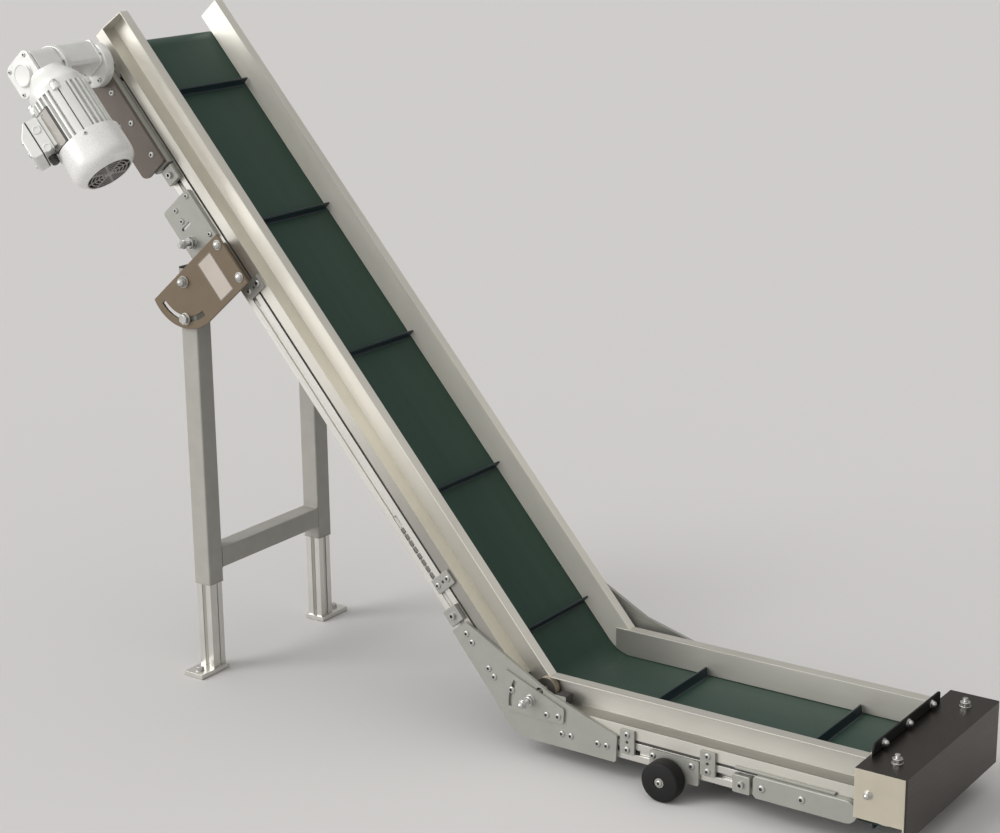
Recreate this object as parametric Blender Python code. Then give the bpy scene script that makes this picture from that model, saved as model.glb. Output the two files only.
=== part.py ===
"""Belt conveyor section: a low level infeed that bends up into a steep cleated incline.

Run with: blender --background --python part.py
Lengths below are in millimetres and angles in degrees; meshes are made in metres.
X runs towards the infeed tail, Z is up, and the near side of the conveyor is -Y.
Pieces are drawn about the knee, where the two belt lines meet, with y = 0 down the
middle of the belt; the assembly then hangs on one empty that puts the middle of its
footprint at the origin. Along the incline, s is the distance up the slope from the knee
and t the height above the belt line, square to the slope.
"""

import math

import bpy
import bmesh
from mathutils import Matrix, Vector

MM = 0.001
GAP = 0.3                 # clearance kept between neighbouring pieces

# ---- driving dimensions ---------------------------------------------------------
KNEE_PLACE = Vector((134.6, 91.6, 0.0))   # the knee from the middle of the whole footprint
SLOPE_ANGLE = 49.5
KNEE_Z = 91.0             # height of the point where the two belt lines meet

PROFILE = 30.0            # side of the slotted aluminium profile
RAIL_Y = 121.0            # centre line of the side rails
RAIL_T = -38.5            # rail centre below the belt line
RAIL_FACE = RAIL_Y + PROFILE / 2
SLOPE_RAIL = (58.0, 1213.0)
LEVEL_RAIL = (45.0, 500.0)
PLATE_IN = RAIL_FACE + GAP    # where plates screwed to the rail face begin

SHEET = 1.5               # side guide sheet
SLOPE_WEB = 106.8
LEVEL_WEB = 105.0
GUIDE_TOP = 42.5
GUIDE_LOW = -0.7
GUIDE_FLANGE = 125.0
GUIDE_LIP = -19.0
SLOPE_GUIDE_END = 1302.0
FLANGE_START = 45.0       # where bottom flange and bed begin, measured from the knee
COVER_START = 543.0
TAB_END = 588.0

BELT_HALF = 120.0
BELT_TOP = -1.5
BELT_THICK = 2.0
CLEAT_HALF = 102.0
CLEAT_HEIGHT = 15.0
CLEAT_PITCH = 264.13
CLEAT_TOP_S = 1158.5      # uppermost cleat on the incline
CLEAT_COUNT = 15
VISIBLE_CLEATS = 7

DRUM_R = 26.5             # inner radius of the belt round drum and tail roller
HEAD_S = 1255.0
DRUM_T = -30.0
TAIL_X = 570.0
KNEE_BEND = Vector((27.0, 0.0, 149.5))    # centre of the upper belt's bend
KNEE_BEND_R = 60.0
RETURN_ROLLER = Vector((-16.8, 0.0, 54.5))
RETURN_R = 20.0
SHAFT_R = 8.2
BORE_R = 9.0

HOLD_WHEEL = Vector((9.4, 0.0, 111.3))
HOLD_WHEEL_R = 17.5
ADJUSTER_PIVOT = Vector((46.9, 0.0, 81.7))

MOTOR_T = -13.0           # motor axis, square offset from the head shaft
MOTOR_Y = -296.0
COWL_R = 54.0

LEG_X = -660.0
LEG_Y = 146.0
TUBE = 35.0
TUBE_WALL = 2.0
TUBE_BOTTOM = 160.0
TUBE_TOP = 704.0
LEG_PIVOT_Z = 684.0
SWIVEL_PLATE = (164.3, 169.3)
BEAM_Z = 199.0

WHEEL = Vector((237.5, 0.0, 31.0))
WHEEL_R = 31.0

COVER_END = 620.0
COVER_Y = 163.0
COVER_TOP = 134.0

# ---- directions and frames --------------------------------------------------------
X = Vector((1.0, 0.0, 0.0))
Y = Vector((0.0, 1.0, 0.0))
Z = Vector((0.0, 0.0, 1.0))
ANGLE = math.radians(SLOPE_ANGLE)
ALONG = Vector((-math.cos(ANGLE), 0.0, math.sin(ANGLE)))     # up the slope
NORMAL = Vector((math.sin(ANGLE), 0.0, math.cos(ANGLE)))     # square to the slope
KNEE = Vector((0.0, 0.0, KNEE_Z))
MITRE_UP = (NORMAL + Z).normalized()
MITRE_OUT = Vector((MITRE_UP.z, 0.0, -MITRE_UP.x))


def axes(origin, u, v, w):
    """A frame as a matrix that turns (u, v, w) into (x, y, z)."""
    matrix = Matrix((u, v, w)).transposed().to_4x4()
    matrix.translation = origin
    return matrix


def spot(s, t, y=0.0):
    """The point at distance s up the slope and height t over the belt line."""
    return KNEE + ALONG * s + NORMAL * t + Y * y


LEVEL = axes(Vector(), X, Z, Y)              # outline (x, z), thickness along y
SLOPE = axes(KNEE, ALONG, NORMAL, Y)         # outline (s, t), thickness along y
LEVEL_RUN = axes(KNEE, Y, Z, X)              # section (y, t), length along x
SLOPE_RUN = axes(KNEE, Y, NORMAL, ALONG)     # section (y, t), length along s
MITRE = axes(KNEE, MITRE_UP, MITRE_OUT, Y)
PLAN = axes(Vector(), X, Y, Z)               # outline (x, y), height along z
MOTOR = axes(spot(0.0, MOTOR_T, MOTOR_Y), Y, NORMAL, ALONG)

# ---- materials --------------------------------------------------------------------
FINISHES = {
    "profile": ((0.72, 0.72, 0.70), 0.90, 0.38),
    "guide": ((0.55, 0.53, 0.47), 0.90, 0.42),
    "plate": ((0.62, 0.62, 0.61), 0.80, 0.45),
    "dark_plate": ((0.22, 0.20, 0.19), 0.85, 0.40),
    "bronze_plate": ((0.30, 0.24, 0.18), 0.70, 0.45),
    "belt": ((0.02, 0.09, 0.065), 0.00, 0.50),
    "roller": ((0.60, 0.60, 0.60), 0.90, 0.35),
    "motor": ((0.63, 0.65, 0.66), 0.30, 0.35),
    "motor_inner": ((0.10, 0.10, 0.10), 0.20, 0.60),
    "leg": ((0.42, 0.41, 0.38), 0.60, 0.50),
    "rubber": ((0.015, 0.015, 0.015), 0.00, 0.70),
    "cover": ((0.40, 0.36, 0.31), 0.90, 0.35),
}


def material(name):
    """The Principled material of one finish, made once."""
    found = bpy.data.materials.get(name)
    if found:
        return found
    colour, metallic, roughness = FINISHES[name]
    made = bpy.data.materials.new(name)
    made.use_nodes = True
    shader = made.node_tree.nodes["Principled BSDF"]
    shader.inputs["Base Color"].default_value = (*colour, 1.0)
    shader.inputs["Metallic"].default_value = metallic
    shader.inputs["Roughness"].default_value = roughness
    return made


# ---- outlines ---------------------------------------------------------------------
def rect(u0, v0, u1, v1):
    return [(u0, v0), (u1, v0), (u1, v1), (u0, v1)]


def arc(cu, cv, radius, start, end, steps):
    """Points on an arc from the start angle to the end angle, both included."""
    points = []
    for k in range(steps + 1):
        angle = math.radians(start + (end - start) * k / steps)
        points.append((cu + radius * math.cos(angle), cv + radius * math.sin(angle)))
    return points


def circle(cu, cv, radius, steps=20):
    return arc(cu, cv, radius, 0.0, 360.0, steps)[:-1]


def rounded(corners, steps=4):
    """An outline whose corners (u, v, radius) are rounded."""
    points = []
    count = len(corners)
    for i, (u, v, radius) in enumerate(corners):
        here = Vector((u, v))
        if radius == 0:
            points.append((u, v))
            continue
        back = (Vector(corners[i - 1][:2]) - here).normalized()
        ahead = (Vector(corners[(i + 1) % count][:2]) - here).normalized()
        half = back.angle(ahead) / 2
        centre = here + (back + ahead).normalized() * (radius / math.sin(half))
        first = here + back * (radius / math.tan(half)) - centre
        last = here + ahead * (radius / math.tan(half)) - centre
        sweep = math.atan2(first.x * last.y - first.y * last.x, first.dot(last))
        for k in range(steps + 1):
            turned_by = Matrix.Rotation(sweep * k / steps, 2) @ first
            points.append((centre.x + turned_by.x, centre.y + turned_by.y))
    return points


def rounded_rect(u0, v0, u1, v1, radius, steps=4):
    return rounded([(u, v, radius) for u, v in rect(u0, v0, u1, v1)], steps)


def curved_slot(cu, cv, radius, start, end, half_width, steps=12):
    """A slot along an arc, with square ends."""
    outer = arc(cu, cv, radius + half_width, start, end, steps)
    inner = arc(cu, cv, radius - half_width, end, start, steps)
    return outer + inner


def slot_profile(cu, cv):
    """Section of the 30 mm profile with a T slot in each side, centred on (cu, cv)."""
    slot = [(15.0, -4.0), (12.8, -4.0), (12.8, -8.25), (10.5, -8.25), (6.2, -4.0)]
    side = [(15.0, -15.0)] + slot + [(u, -v) for u, v in reversed(slot)]
    points = []
    for c, s in ((1, 0), (0, 1), (-1, 0), (0, -1)):
        points += [(cu + c * u - s * v, cv + s * u + c * v) for u, v in side]
    return points


# ---- solids -----------------------------------------------------------------------
def make_object(name, bm, smooth=False):
    bmesh.ops.recalc_face_normals(bm, faces=bm.faces)
    mesh = bpy.data.meshes.new(name)
    bm.to_mesh(mesh)
    bm.free()
    if smooth:
        mesh.shade_smooth()
        mesh.set_sharp_from_angle(angle=math.radians(35.0))
    made = bpy.data.objects.new(name, mesh)
    bpy.context.collection.objects.link(made)
    return made


def prism(name, at, outline, low, high):
    """An outline in the u-v plane of a frame, extruded from w = low to w = high."""
    bm = bmesh.new()
    ends = []
    for w in (low, high):
        ends.append([bm.verts.new((at @ Vector((u, v, w))) * MM) for u, v in outline])
    for end in ends:
        bm.faces.new(end)
    count = len(outline)
    for i in range(count):
        j = (i + 1) % count
        bm.faces.new((ends[0][i], ends[0][j], ends[1][j], ends[1][i]))
    return make_object(name, bm)


def turned(name, at, profile, steps=24, ring=False):
    """A turned piece: (w, radius) points swept about the w axis of a frame."""
    bm = bmesh.new()
    rings = []
    for w, radius in profile:
        points = arc(0.0, 0.0, radius, 180.0 / steps, 360.0 + 180.0 / steps, steps)[:-1]
        rings.append([bm.verts.new((at @ Vector((u, v, w))) * MM) for u, v in points])
    pairs = list(zip(rings, rings[1:]))
    if ring:
        pairs.append((rings[-1], rings[0]))
    else:
        bm.faces.new(rings[0])
        bm.faces.new(rings[-1])
    for one, two in pairs:
        for i in range(steps):
            j = (i + 1) % steps
            bm.faces.new((one[i], one[j], two[j], two[i]))
    return make_object(name, bm, smooth=True)


def combine(target, others, operation):
    """Boolean each of the others into the target and drop them."""
    for other in others:
        modifier = target.modifiers.new("combine", "BOOLEAN")
        modifier.operation = operation
        modifier.solver = "EXACT"
        modifier.object = other
        with bpy.context.temp_override(object=target, active_object=target):
            bpy.ops.object.modifier_apply(modifier=modifier.name)
        bpy.data.objects.remove(other)
    return target


def join(target, *others):
    return combine(target, others, "UNION")


def cut(target, *others):
    return combine(target, others, "DIFFERENCE")


def finish(made, name):
    made.data.materials.clear()
    made.data.materials.append(material(name))
    return made


def pivot(name, point, pieces):
    """Hang pieces on an empty that marks their joint."""
    mark = bpy.data.objects.new(name, None)
    mark.location = point * MM
    bpy.context.collection.objects.link(mark)
    for piece in pieces:
        piece.parent = mark
        piece.matrix_parent_inverse = Matrix.Translation(-point * MM)
    return mark


def across(point):
    """A frame at a point whose w axis runs across the conveyor, along +Y."""
    return axes(Vector((point[0], 0.0, point[2])), X, Z, Y)


def side_prism(name, at, outline, side, low, high):
    """A prism across the conveyor, with low and high measured outward on one side."""
    first, last = sorted((side * low, side * high))
    return prism(name, at, outline, first, last)


def side_rod(name, at, side, low, high, radius, steps=16):
    first, last = sorted((side * low, side * high))
    return turned(name, at, [(first, radius), (last, radius)], steps)


def side_hole(target, at, side, low, high, radius, steps=20):
    return cut(target, side_rod("hole", at, side, low, high, radius, steps))


# ---- frame pieces -----------------------------------------------------------------
def rails(side, tag):
    section = slot_profile(side * RAIL_Y, RAIL_T)
    finish(prism("slope_rail_" + tag, SLOPE_RUN, section, *SLOPE_RAIL), "profile")
    finish(prism("level_rail_" + tag, LEVEL_RUN, section, *LEVEL_RAIL), "profile")


def guide_section(side, web):
    """Folded side guide as (y, t): web, two outward flanges and a lip over the rail."""
    top, low = GUIDE_TOP, GUIDE_LOW
    points = [(web, low), (web, top), (GUIDE_FLANGE, top), (GUIDE_FLANGE, top - SHEET),
              (web + SHEET, top - SHEET), (web + SHEET, low + SHEET),
              (RAIL_FACE, low + SHEET), (RAIL_FACE, GUIDE_LIP),
              (RAIL_FACE - SHEET, GUIDE_LIP), (RAIL_FACE - SHEET, low)]
    return [(side * y, t) for y, t in points]


def bend_clearance():
    """The room under the guides that the belt needs where it bends at the knee."""
    radius = KNEE_BEND_R - 0.7
    low = -90.0 - SLOPE_ANGLE
    outline = arc(KNEE_BEND.x, KNEE_BEND.z, radius, low, -90.0, 10)
    outline += arc(KNEE_BEND.x, KNEE_BEND.z, radius + 40.0, -90.0, low, 2)
    return outline


def slope_guide(side, tag):
    outer = SLOPE_WEB + SHEET
    guide = prism("slope_guide_" + tag, SLOPE_RUN, guide_section(side, SLOPE_WEB),
                  -20.0, SLOPE_GUIDE_END)
    cut(guide,
        side_prism("mitre", MITRE, rect(-60.0, -0.15, 120.0, 120.0), side, 90.0, 150.0),
        side_prism("flange_end", SLOPE, rect(-60.0, -40.0, FLANGE_START, 20.0),
                   side, outer, 150.0),
        side_prism("bend", LEVEL, bend_clearance(), side, 90.0, 150.0))
    flap = [(SLOPE_WEB + 0.1, GUIDE_TOP - 0.1), (GUIDE_FLANGE - 0.1, GUIDE_TOP - 0.1),
            (RAIL_FACE - 0.1, GUIDE_LOW + SHEET - 0.1), (RAIL_FACE - 0.1, GUIDE_LOW + 0.1),
            (SLOPE_WEB + 0.1, GUIDE_LOW + 0.1)]
    join(guide, prism("flap", SLOPE_RUN, [(side * y, t) for y, t in flap],
                      SLOPE_GUIDE_END - 1.0, SLOPE_GUIDE_END + 0.5))
    finish(guide, "guide")


def level_guide(side, tag):
    outer = LEVEL_WEB + SHEET
    guide = prism("level_guide_" + tag, LEVEL_RUN, guide_section(side, LEVEL_WEB),
                  -4.2, TAB_END)
    cut(guide,
        side_prism("mitre", MITRE, rect(-60.0, -150.0, 130.0, 0.15), side, outer, 150.0),
        side_prism("flange_end", LEVEL, rect(-60.0, 40.0, FLANGE_START - 5.0, 100.0),
                   side, outer, 150.0),
        side_prism("bend", LEVEL, bend_clearance(), side, 90.0, 150.0),
        side_prism("tail_flanges", LEVEL, rect(COVER_START - 0.5, 40.0, 700.0, 150.0),
                   side, outer, 150.0),
        side_prism("tail_tab", LEVEL, rect(COVER_START - 0.5, 128.0, 700.0, 150.0),
                   side, 90.0, 150.0))
    finish(guide, "guide")


def slide_bed(name, run, start, end, leg_end):
    """Sheet the belt slides on: a shallow channel, its legs standing over the rails."""
    edge, leg = 133.5, -23.2
    top = BELT_TOP - BELT_THICK - GAP
    section = [(-edge, top), (edge, top), (edge, leg), (edge - 2.0, leg),
               (edge - 2.0, top - 2.0), (2.0 - edge, top - 2.0), (2.0 - edge, leg),
               (-edge, leg)]
    bed = prism(name, run, section, start, end)
    for side in (-1, 1):
        outline = [(side * 123.0, top - 3.0), (side * 140.0, top - 3.0),
                   (side * 140.0, leg - 5.0), (side * 123.0, leg - 5.0)]
        cut(bed, prism("leg_end", run, outline, leg_end, end + 20.0))
    finish(bed, "guide")


def tie(name, run, start):
    width = RAIL_Y - PROFILE / 2 - GAP
    outline = rounded_rect(-width, -45.0, width, -30.0, 1.0, 2)
    finish(prism(name, run, outline, start, start + 30.0), "profile")


def knee_plate(side, tag):
    """Plate that joins the level and the sloping rail; the far one stands taller."""
    outer = PLATE_IN + 5.7
    low_edge = [(147.0, 30.4, 4.0), (-32.0, 30.3, 50.0), (-152.5, 177.2, 2.0)]
    if side < 0:
        top_edge = [(-126.3, 197.3, 3.0), (25.0, 116.0, 12.0), (149.0, 73.0, 3.0)]
    else:
        top_edge = [(-99.0, 219.0, 3.0), (34.0, 149.0, 10.0), (149.0, 118.0, 3.0)]
    outline = rounded(low_edge + top_edge, 6)
    plate = side_prism("knee_plate_" + tag, LEVEL, outline, side, PLATE_IN, outer)
    block = rounded_rect(36.0, 96.0, 56.0, 113.0, 2.0, 2)
    join(plate, side_prism("block", LEVEL, block, side, 118.0, PLATE_IN + 2.0))
    clearance = Vector((10.6, 0.0, 112.9))
    side_hole(plate, across(clearance), side, 130.0, 150.0, 6.5)
    side_hole(plate, across(RETURN_ROLLER), side, 130.0, 140.2, 6.6)
    finish(plate, "plate")


def adjuster(side, tag):
    """Swinging plate with the axle of the wheel that holds the belt edge down."""
    inner = PLATE_IN + 5.7 + GAP
    outline = rounded([(-52.0, 138.0, 3.0), (57.5, 95.5, 5.0), (56.0, 71.0, 5.0),
                       (11.8, 70.0, 8.0), (-48.0, 72.0, 5.0)], 3)
    plate = side_prism("adjuster_plate_" + tag, LEVEL, outline, side, inner, inner + 3.7)
    slot = curved_slot(ADJUSTER_PIVOT.x, ADJUSTER_PIVOT.z, 88.0, 153.0, 182.0, 3.2, 8)
    cut(plate, side_prism("slot", LEVEL, slot, side, inner - 2.0, inner + 8.0))
    stud = across(Vector((-4.0, 0.0, 97.0)))
    join(plate,
         side_rod("axle", across(HOLD_WHEEL), side, 109.5, inner + 2.0, 3.5),
         side_rod("nut", stud, side, inner + 2.0, inner + 9.0, 7.5, 6),
         side_rod("stud", stud, side, inner + 1.0, 174.0, 4.0, 12))
    finish(plate, "plate")
    wheel = turned("hold_down_wheel_" + tag, across(HOLD_WHEEL),
                   [(side * 110.0, 3.9), (side * 110.0, HOLD_WHEEL_R),
                    (side * 122.0, HOLD_WHEEL_R), (side * 122.0, 3.9)], 28, ring=True)
    finish(wheel, "rubber")
    holder = pivot("adjuster_pivot_" + tag, ADJUSTER_PIVOT, [plate])
    axis = pivot("hold_down_axis_" + tag, HOLD_WHEEL, [wheel])
    axis.parent = holder
    axis.matrix_parent_inverse = Matrix.Translation(-ADJUSTER_PIVOT * MM)


def return_roller():
    at = across(RETURN_ROLLER)
    radius = RETURN_R - 0.4
    profile = [(-139.7, 6.0), (-122.0, 6.0), (-122.0, radius), (122.0, radius),
               (122.0, 6.0), (139.7, 6.0)]
    roller = finish(turned("knee_return_roller", at, profile), "roller")
    pivot("return_roller_axis", RETURN_ROLLER, [roller])


# ---- belt -------------------------------------------------------------------------
def belt_loop(depth):
    """The closed belt outline as (x, z), at a depth below its outer face."""
    around = DRUM_R + BELT_THICK - depth
    head = spot(HEAD_S, DRUM_T)
    slope_up = 90.0 - SLOPE_ANGLE
    points = arc(TAIL_X, KNEE_Z + DRUM_T, around, -90.0, 90.0, 14)
    points += arc(KNEE_BEND.x, KNEE_BEND.z, KNEE_BEND_R + depth, -90.0,
                  -90.0 - SLOPE_ANGLE, 8)
    points += arc(head.x, head.z, around, slope_up, slope_up + 180.0, 14)
    points += arc(RETURN_ROLLER.x, RETURN_ROLLER.z, RETURN_R + BELT_THICK - depth,
                  slope_up + 180.0, 270.0, 6)
    return [Vector(point) for point in points]


def place_on(loop, distance):
    """Point and direction of travel at a distance along a closed outline."""
    count = len(loop)
    for i in range(count):
        step = loop[(i + 1) % count] - loop[i]
        if distance <= step.length:
            return loop[i] + step.normalized() * distance, step.normalized()
        distance -= step.length
    return loop[0], (loop[1] - loop[0]).normalized()


def cleat_outline(point, forward):
    """Cross rib on a broad foot, leaning a little in the direction of travel."""
    out = Vector((forward.y, -forward.x))
    shape = [(-4.0, -0.5), (-4.0, 0.8), (-1.7, 3.5), (-0.2, CLEAT_HEIGHT),
             (2.8, CLEAT_HEIGHT), (1.7, 3.5), (4.0, 0.8), (4.0, -0.5)]
    return [tuple(point + forward * a + out * h) for a, h in shape]


def belt():
    loop = belt_loop(0.0)
    made = prism("belt", LEVEL, belt_loop(0.0), -BELT_HALF, BELT_HALF)
    cut(made, prism("inside", LEVEL, belt_loop(BELT_THICK), -BELT_HALF - 5.0,
                    BELT_HALF + 5.0))
    length = sum((loop[(i + 1) % len(loop)] - loop[i]).length for i in range(len(loop)))
    tail_arc = math.pi * (DRUM_R + BELT_THICK)
    knee_arc = KNEE_BEND_R * ANGLE
    tangent = KNEE_BEND_R * math.tan(ANGLE / 2)
    top_cleat = tail_arc + (TAIL_X - KNEE_BEND.x) + knee_arc + (CLEAT_TOP_S - tangent)
    hidden = CLEAT_COUNT - VISIBLE_CLEATS
    run = (VISIBLE_CLEATS - 1) * CLEAT_PITCH
    hidden_pitch = (length - run) / (hidden + 1)
    places = [top_cleat - k * CLEAT_PITCH for k in range(VISIBLE_CLEATS)]
    places += [(top_cleat + (k + 1) * hidden_pitch) % length for k in range(hidden)]
    for place in places:
        point, forward = place_on(loop, place)
        join(made, prism("cleat", LEVEL, cleat_outline(point, forward),
                         -CLEAT_HALF, CLEAT_HALF))
    finish(made, "belt")


# ---- plates and clamps on the rails -------------------------------------------------
def stop_block(name, at, u, v, side):
    block = side_prism(name, at, rounded_rect(u - 14.0, v - 14.0, u + 14.0, v + 14.0, 1.5, 2),
                       side, PLATE_IN, PLATE_IN + 10.0)
    finish(block, "plate")


def guide_holder(name, at, u, v_low, side):
    """Flat clip from the rail slot up to the guide lip."""
    outline = rounded_rect(u - 12.5, v_low, u + 12.5, v_low + 39.0, 1.5, 2)
    clip = side_prism(name, at, outline, side, PLATE_IN, PLATE_IN + 4.5)
    hole = circle(u, v_low + 19.5, 2.6, 10)
    cut(clip, side_prism("hole", at, hole, side, PLATE_IN - 2.0, PLATE_IN + 8.0))
    finish(clip, "plate")


def head_plate(side, tag):
    outer = 150.0
    outline = rounded([(1050.3, -60.0, 2.0), (1285.0, -60.0, 14.0), (1285.0, -23.8, 14.0),
                       (1050.3, -23.8, 2.0)], 4)
    plate = side_prism("head_plate_" + tag, SLOPE, outline, side, PLATE_IN, outer)
    centre = across(spot(HEAD_S, DRUM_T))
    if side > 0:
        join(plate, side_rod("bearing", centre, side, outer - 2.0, outer + 8.0, 24.0, 28))
        side_hole(plate, centre, side, 130.0, outer + 4.0, BORE_R)
    else:
        side_hole(plate, centre, side, 130.0, outer + 10.0, BORE_R)
    finish(plate, "plate")


def motor_plate():
    outline = rounded([(1054.0, -82.0, 12.0), (1289.0, -82.0, 25.0), (1289.0, -24.0, 12.0),
                       (1054.0, -24.0, 3.0)], 4)
    plate = side_prism("motor_plate", SLOPE, outline, -1, 150.0 + GAP, 157.0)
    side_hole(plate, across(spot(HEAD_S, DRUM_T)), -1, 140.0, 170.0, BORE_R)
    finish(plate, "dark_plate")


def leg_mount(side, tag):
    """Plate that carries the leg's upper stud, screwed to the rail above the swivel."""
    outline = rounded([(903.0, -99.5, 5.0), (998.5, -99.5, 5.0), (998.5, -28.0, 5.0),
                       (903.0, -28.0, 5.0)], 3)
    plate = side_prism("leg_mount_plate_" + tag, SLOPE, outline, side, PLATE_IN,
                       PLATE_IN + 5.7)
    slot = rounded_rect(951.2, -84.6, 956.4, -60.0, 2.5, 3)
    cut(plate, side_prism("slot", SLOPE, slot, side, PLATE_IN - 2.0, PLATE_IN + 9.0))
    stud = across(spot(927.0, -80.0))
    join(plate,
         side_rod("nut", stud, side, PLATE_IN + 4.0, PLATE_IN + 12.0, 9.0, 6),
         side_rod("stud", stud, side, PLATE_IN + 3.0, 174.0, 4.0, 12))
    finish(plate, "plate")


def swivel_plate(side, tag):
    """Slotted quadrant the leg tilts on, with the wedge that carries it off the rail."""
    inner, outer = SWIVEL_PLATE
    hinge = Vector((LEG_X, 0.0, LEG_PIVOT_Z)) - KNEE
    hinge_s, hinge_t = hinge.dot(ALONG), hinge.dot(NORMAL)
    radius = 79.0
    left = 896.0
    reach = math.degrees(math.acos((left - hinge_s) / radius))
    outline = [(left, -4.0), (hinge_s - radius, -4.0)]
    outline += arc(hinge_s, hinge_t, radius, 180.0, 360.0 - reach, 16)
    plate = side_prism("swivel_plate_" + tag, SLOPE, outline, side, inner, outer)
    wedge = [(PLATE_IN, -53.0), (inner + 2.0, -53.0), (inner + 2.0, -8.0),
             (PLATE_IN, -30.0)]
    join(plate, prism("spacer", SLOPE_RUN, [(side * y, t) for y, t in wedge], 813.0, 890.0))
    down = 180.0 + 90.0 - SLOPE_ANGLE
    slot = curved_slot(hinge_s, hinge_t, 62.0, down - 40.0, down + 51.0, 4.5, 14)
    cut(plate, side_prism("slot", SLOPE, slot, side, inner - 3.0, outer + 3.0))
    side_hole(plate, across(Vector((LEG_X, 0.0, LEG_PIVOT_Z))), side, inner - 3.0,
              outer + 3.0, 6.2, 20)
    finish(plate, "bronze_plate")


# ---- leg stand --------------------------------------------------------------------
def leg_tube(side, tag):
    """Square tube with its pivot bolt and clamp bolt, which ride in the swivel plate."""
    half = TUBE / 2
    inner, outer = SWIVEL_PLATE
    x, y = LEG_X, side * LEG_Y
    wall = half - TUBE_WALL
    tube = prism("leg_tube_" + tag, PLAN,
                 rounded_rect(x - half, y - half, x + half, y + half, 3.0, 3),
                 TUBE_BOTTOM, TUBE_TOP)
    cut(tube, prism("bore", PLAN,
                    rounded_rect(x - wall, y - wall, x + wall, y + wall, 1.0, 2),
                    TUBE_BOTTOM - 10.0, TUBE_TOP - 3.0))
    hinge = across(Vector((LEG_X, 0.0, LEG_PIVOT_Z)))
    clamp = across(Vector((LEG_X, 0.0, 622.0)))
    face = LEG_Y + half - 1.0
    join(tube,
         side_rod("pivot_bolt", hinge, side, face, outer + 2.0, 5.0, 16),
         side_rod("pivot_head", hinge, side, outer + 0.6, outer + 7.0, 9.0, 6),
         side_rod("clamp_bolt", clamp, side, face, outer + 2.0, 3.7, 12),
         side_rod("clamp_head", clamp, side, outer + 0.6, outer + 6.5, 8.5, 6))
    return finish(tube, "leg")


def leg_beam():
    half = TUBE / 2
    width = LEG_Y - half - GAP
    at = axes(Vector((LEG_X, 0.0, BEAM_Z)), X, Z, Y)
    beam = prism("leg_crossbeam", at, rounded_rect(-half, -half, half, half, 3.0, 3),
                 -width, width)
    wall = half - TUBE_WALL
    cut(beam, prism("bore", at, rounded_rect(-wall, -wall, wall, wall, 1.0, 2),
                    -width - 5.0, width + 5.0))
    return finish(beam, "leg")


def leg_extension(side, tag):
    """Slotted profile in the tube, on a foot plate with a hole for a floor bolt."""
    y = side * LEG_Y
    foot = side_prism("foot", axes(Vector((LEG_X, 0.0, 0.0)), X, Z, Y),
                      rounded_rect(-20.5, 0.0, 20.5, 8.0, 1.0, 2), side, LEG_Y - 18.0,
                      LEG_Y + 52.0)
    leg = prism("leg_extension_" + tag, PLAN, slot_profile(LEG_X, y), 6.0, 300.0)
    join(leg, foot)
    hole = circle(LEG_X, side * (LEG_Y + 35.0), 5.5, 16)
    cut(leg, prism("bolt_hole", PLAN, hole, -5.0, 15.0))
    return finish(leg, "profile")


def leg_stand():
    tubes = []
    for side, tag in ((-1, "near"), (1, "far")):
        tubes.append(leg_tube(side, tag))
        tubes.append(leg_extension(side, tag))
    tubes.append(leg_beam())
    pivot("leg_pivot", Vector((LEG_X, 0.0, LEG_PIVOT_Z)), tubes)


# ---- infeed end -------------------------------------------------------------------
def support_wheel(side, tag):
    bracket = side_prism("wheel_bracket_" + tag, LEVEL,
                         rounded([(213.0, 28.0, 2.0), (288.0, 28.0, 3.0), (288.0, 67.0, 3.0),
                                  (205.0, 67.0, 3.0), (205.0, 40.0, 2.0)], 2),
                         side, PLATE_IN, PLATE_IN + 5.0)
    at = across(WHEEL)
    join(bracket,
         side_rod("collar", at, side, PLATE_IN + 3.0, 142.6, 9.0, 20),
         side_rod("axle", at, side, PLATE_IN + 2.0, 167.5, 5.0, 16),
         side_rod("head", at, side, 166.3, 168.8, 7.5, 20))
    finish(bracket, "plate")
    edge = WHEEL_R - 1.5
    profile = [(143.0, 5.5), (143.0, edge), (144.5, WHEEL_R), (167.5, WHEEL_R),
               (169.0, edge), (169.0, 8.5), (166.0, 8.5), (166.0, 5.5)]
    wheel = turned("support_wheel_" + tag, at, [(side * w, r) for w, r in profile], 40,
                   ring=True)
    finish(wheel, "rubber")
    pivot("support_wheel_axis_" + tag, WHEEL, [wheel])


def tension_bar(side, tag):
    """Bar that slides along the rail slot and carries the tail roller's bearing."""
    tip = Vector((524.5, 55.5))
    outline = arc(tip.x, tip.y, 17.5, -90.0, 90.0, 10)
    outline += [(384.5, 73.0), (379.5, 68.0), (379.5, 43.0), (384.5, 38.0)]
    bar = side_prism("tension_bar_" + tag, LEVEL, outline, side, PLATE_IN, PLATE_IN + 12.0)
    block = rounded_rect(515.0, 46.0, 592.0, 71.5, 3.0, 3)
    join(bar,
         side_prism("neck", LEVEL, rect(517.0, 48.0, 534.0, 64.0), side, 130.0, PLATE_IN + 2.0),
         side_prism("bearing", LEVEL, block, side, 124.0, 133.5))
    tail = Vector((TAIL_X, 0.0, KNEE_Z + DRUM_T))
    side_hole(bar, across(tail), side, 120.0, 133.5, 6.5, 20)
    return finish(bar, "plate")


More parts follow.
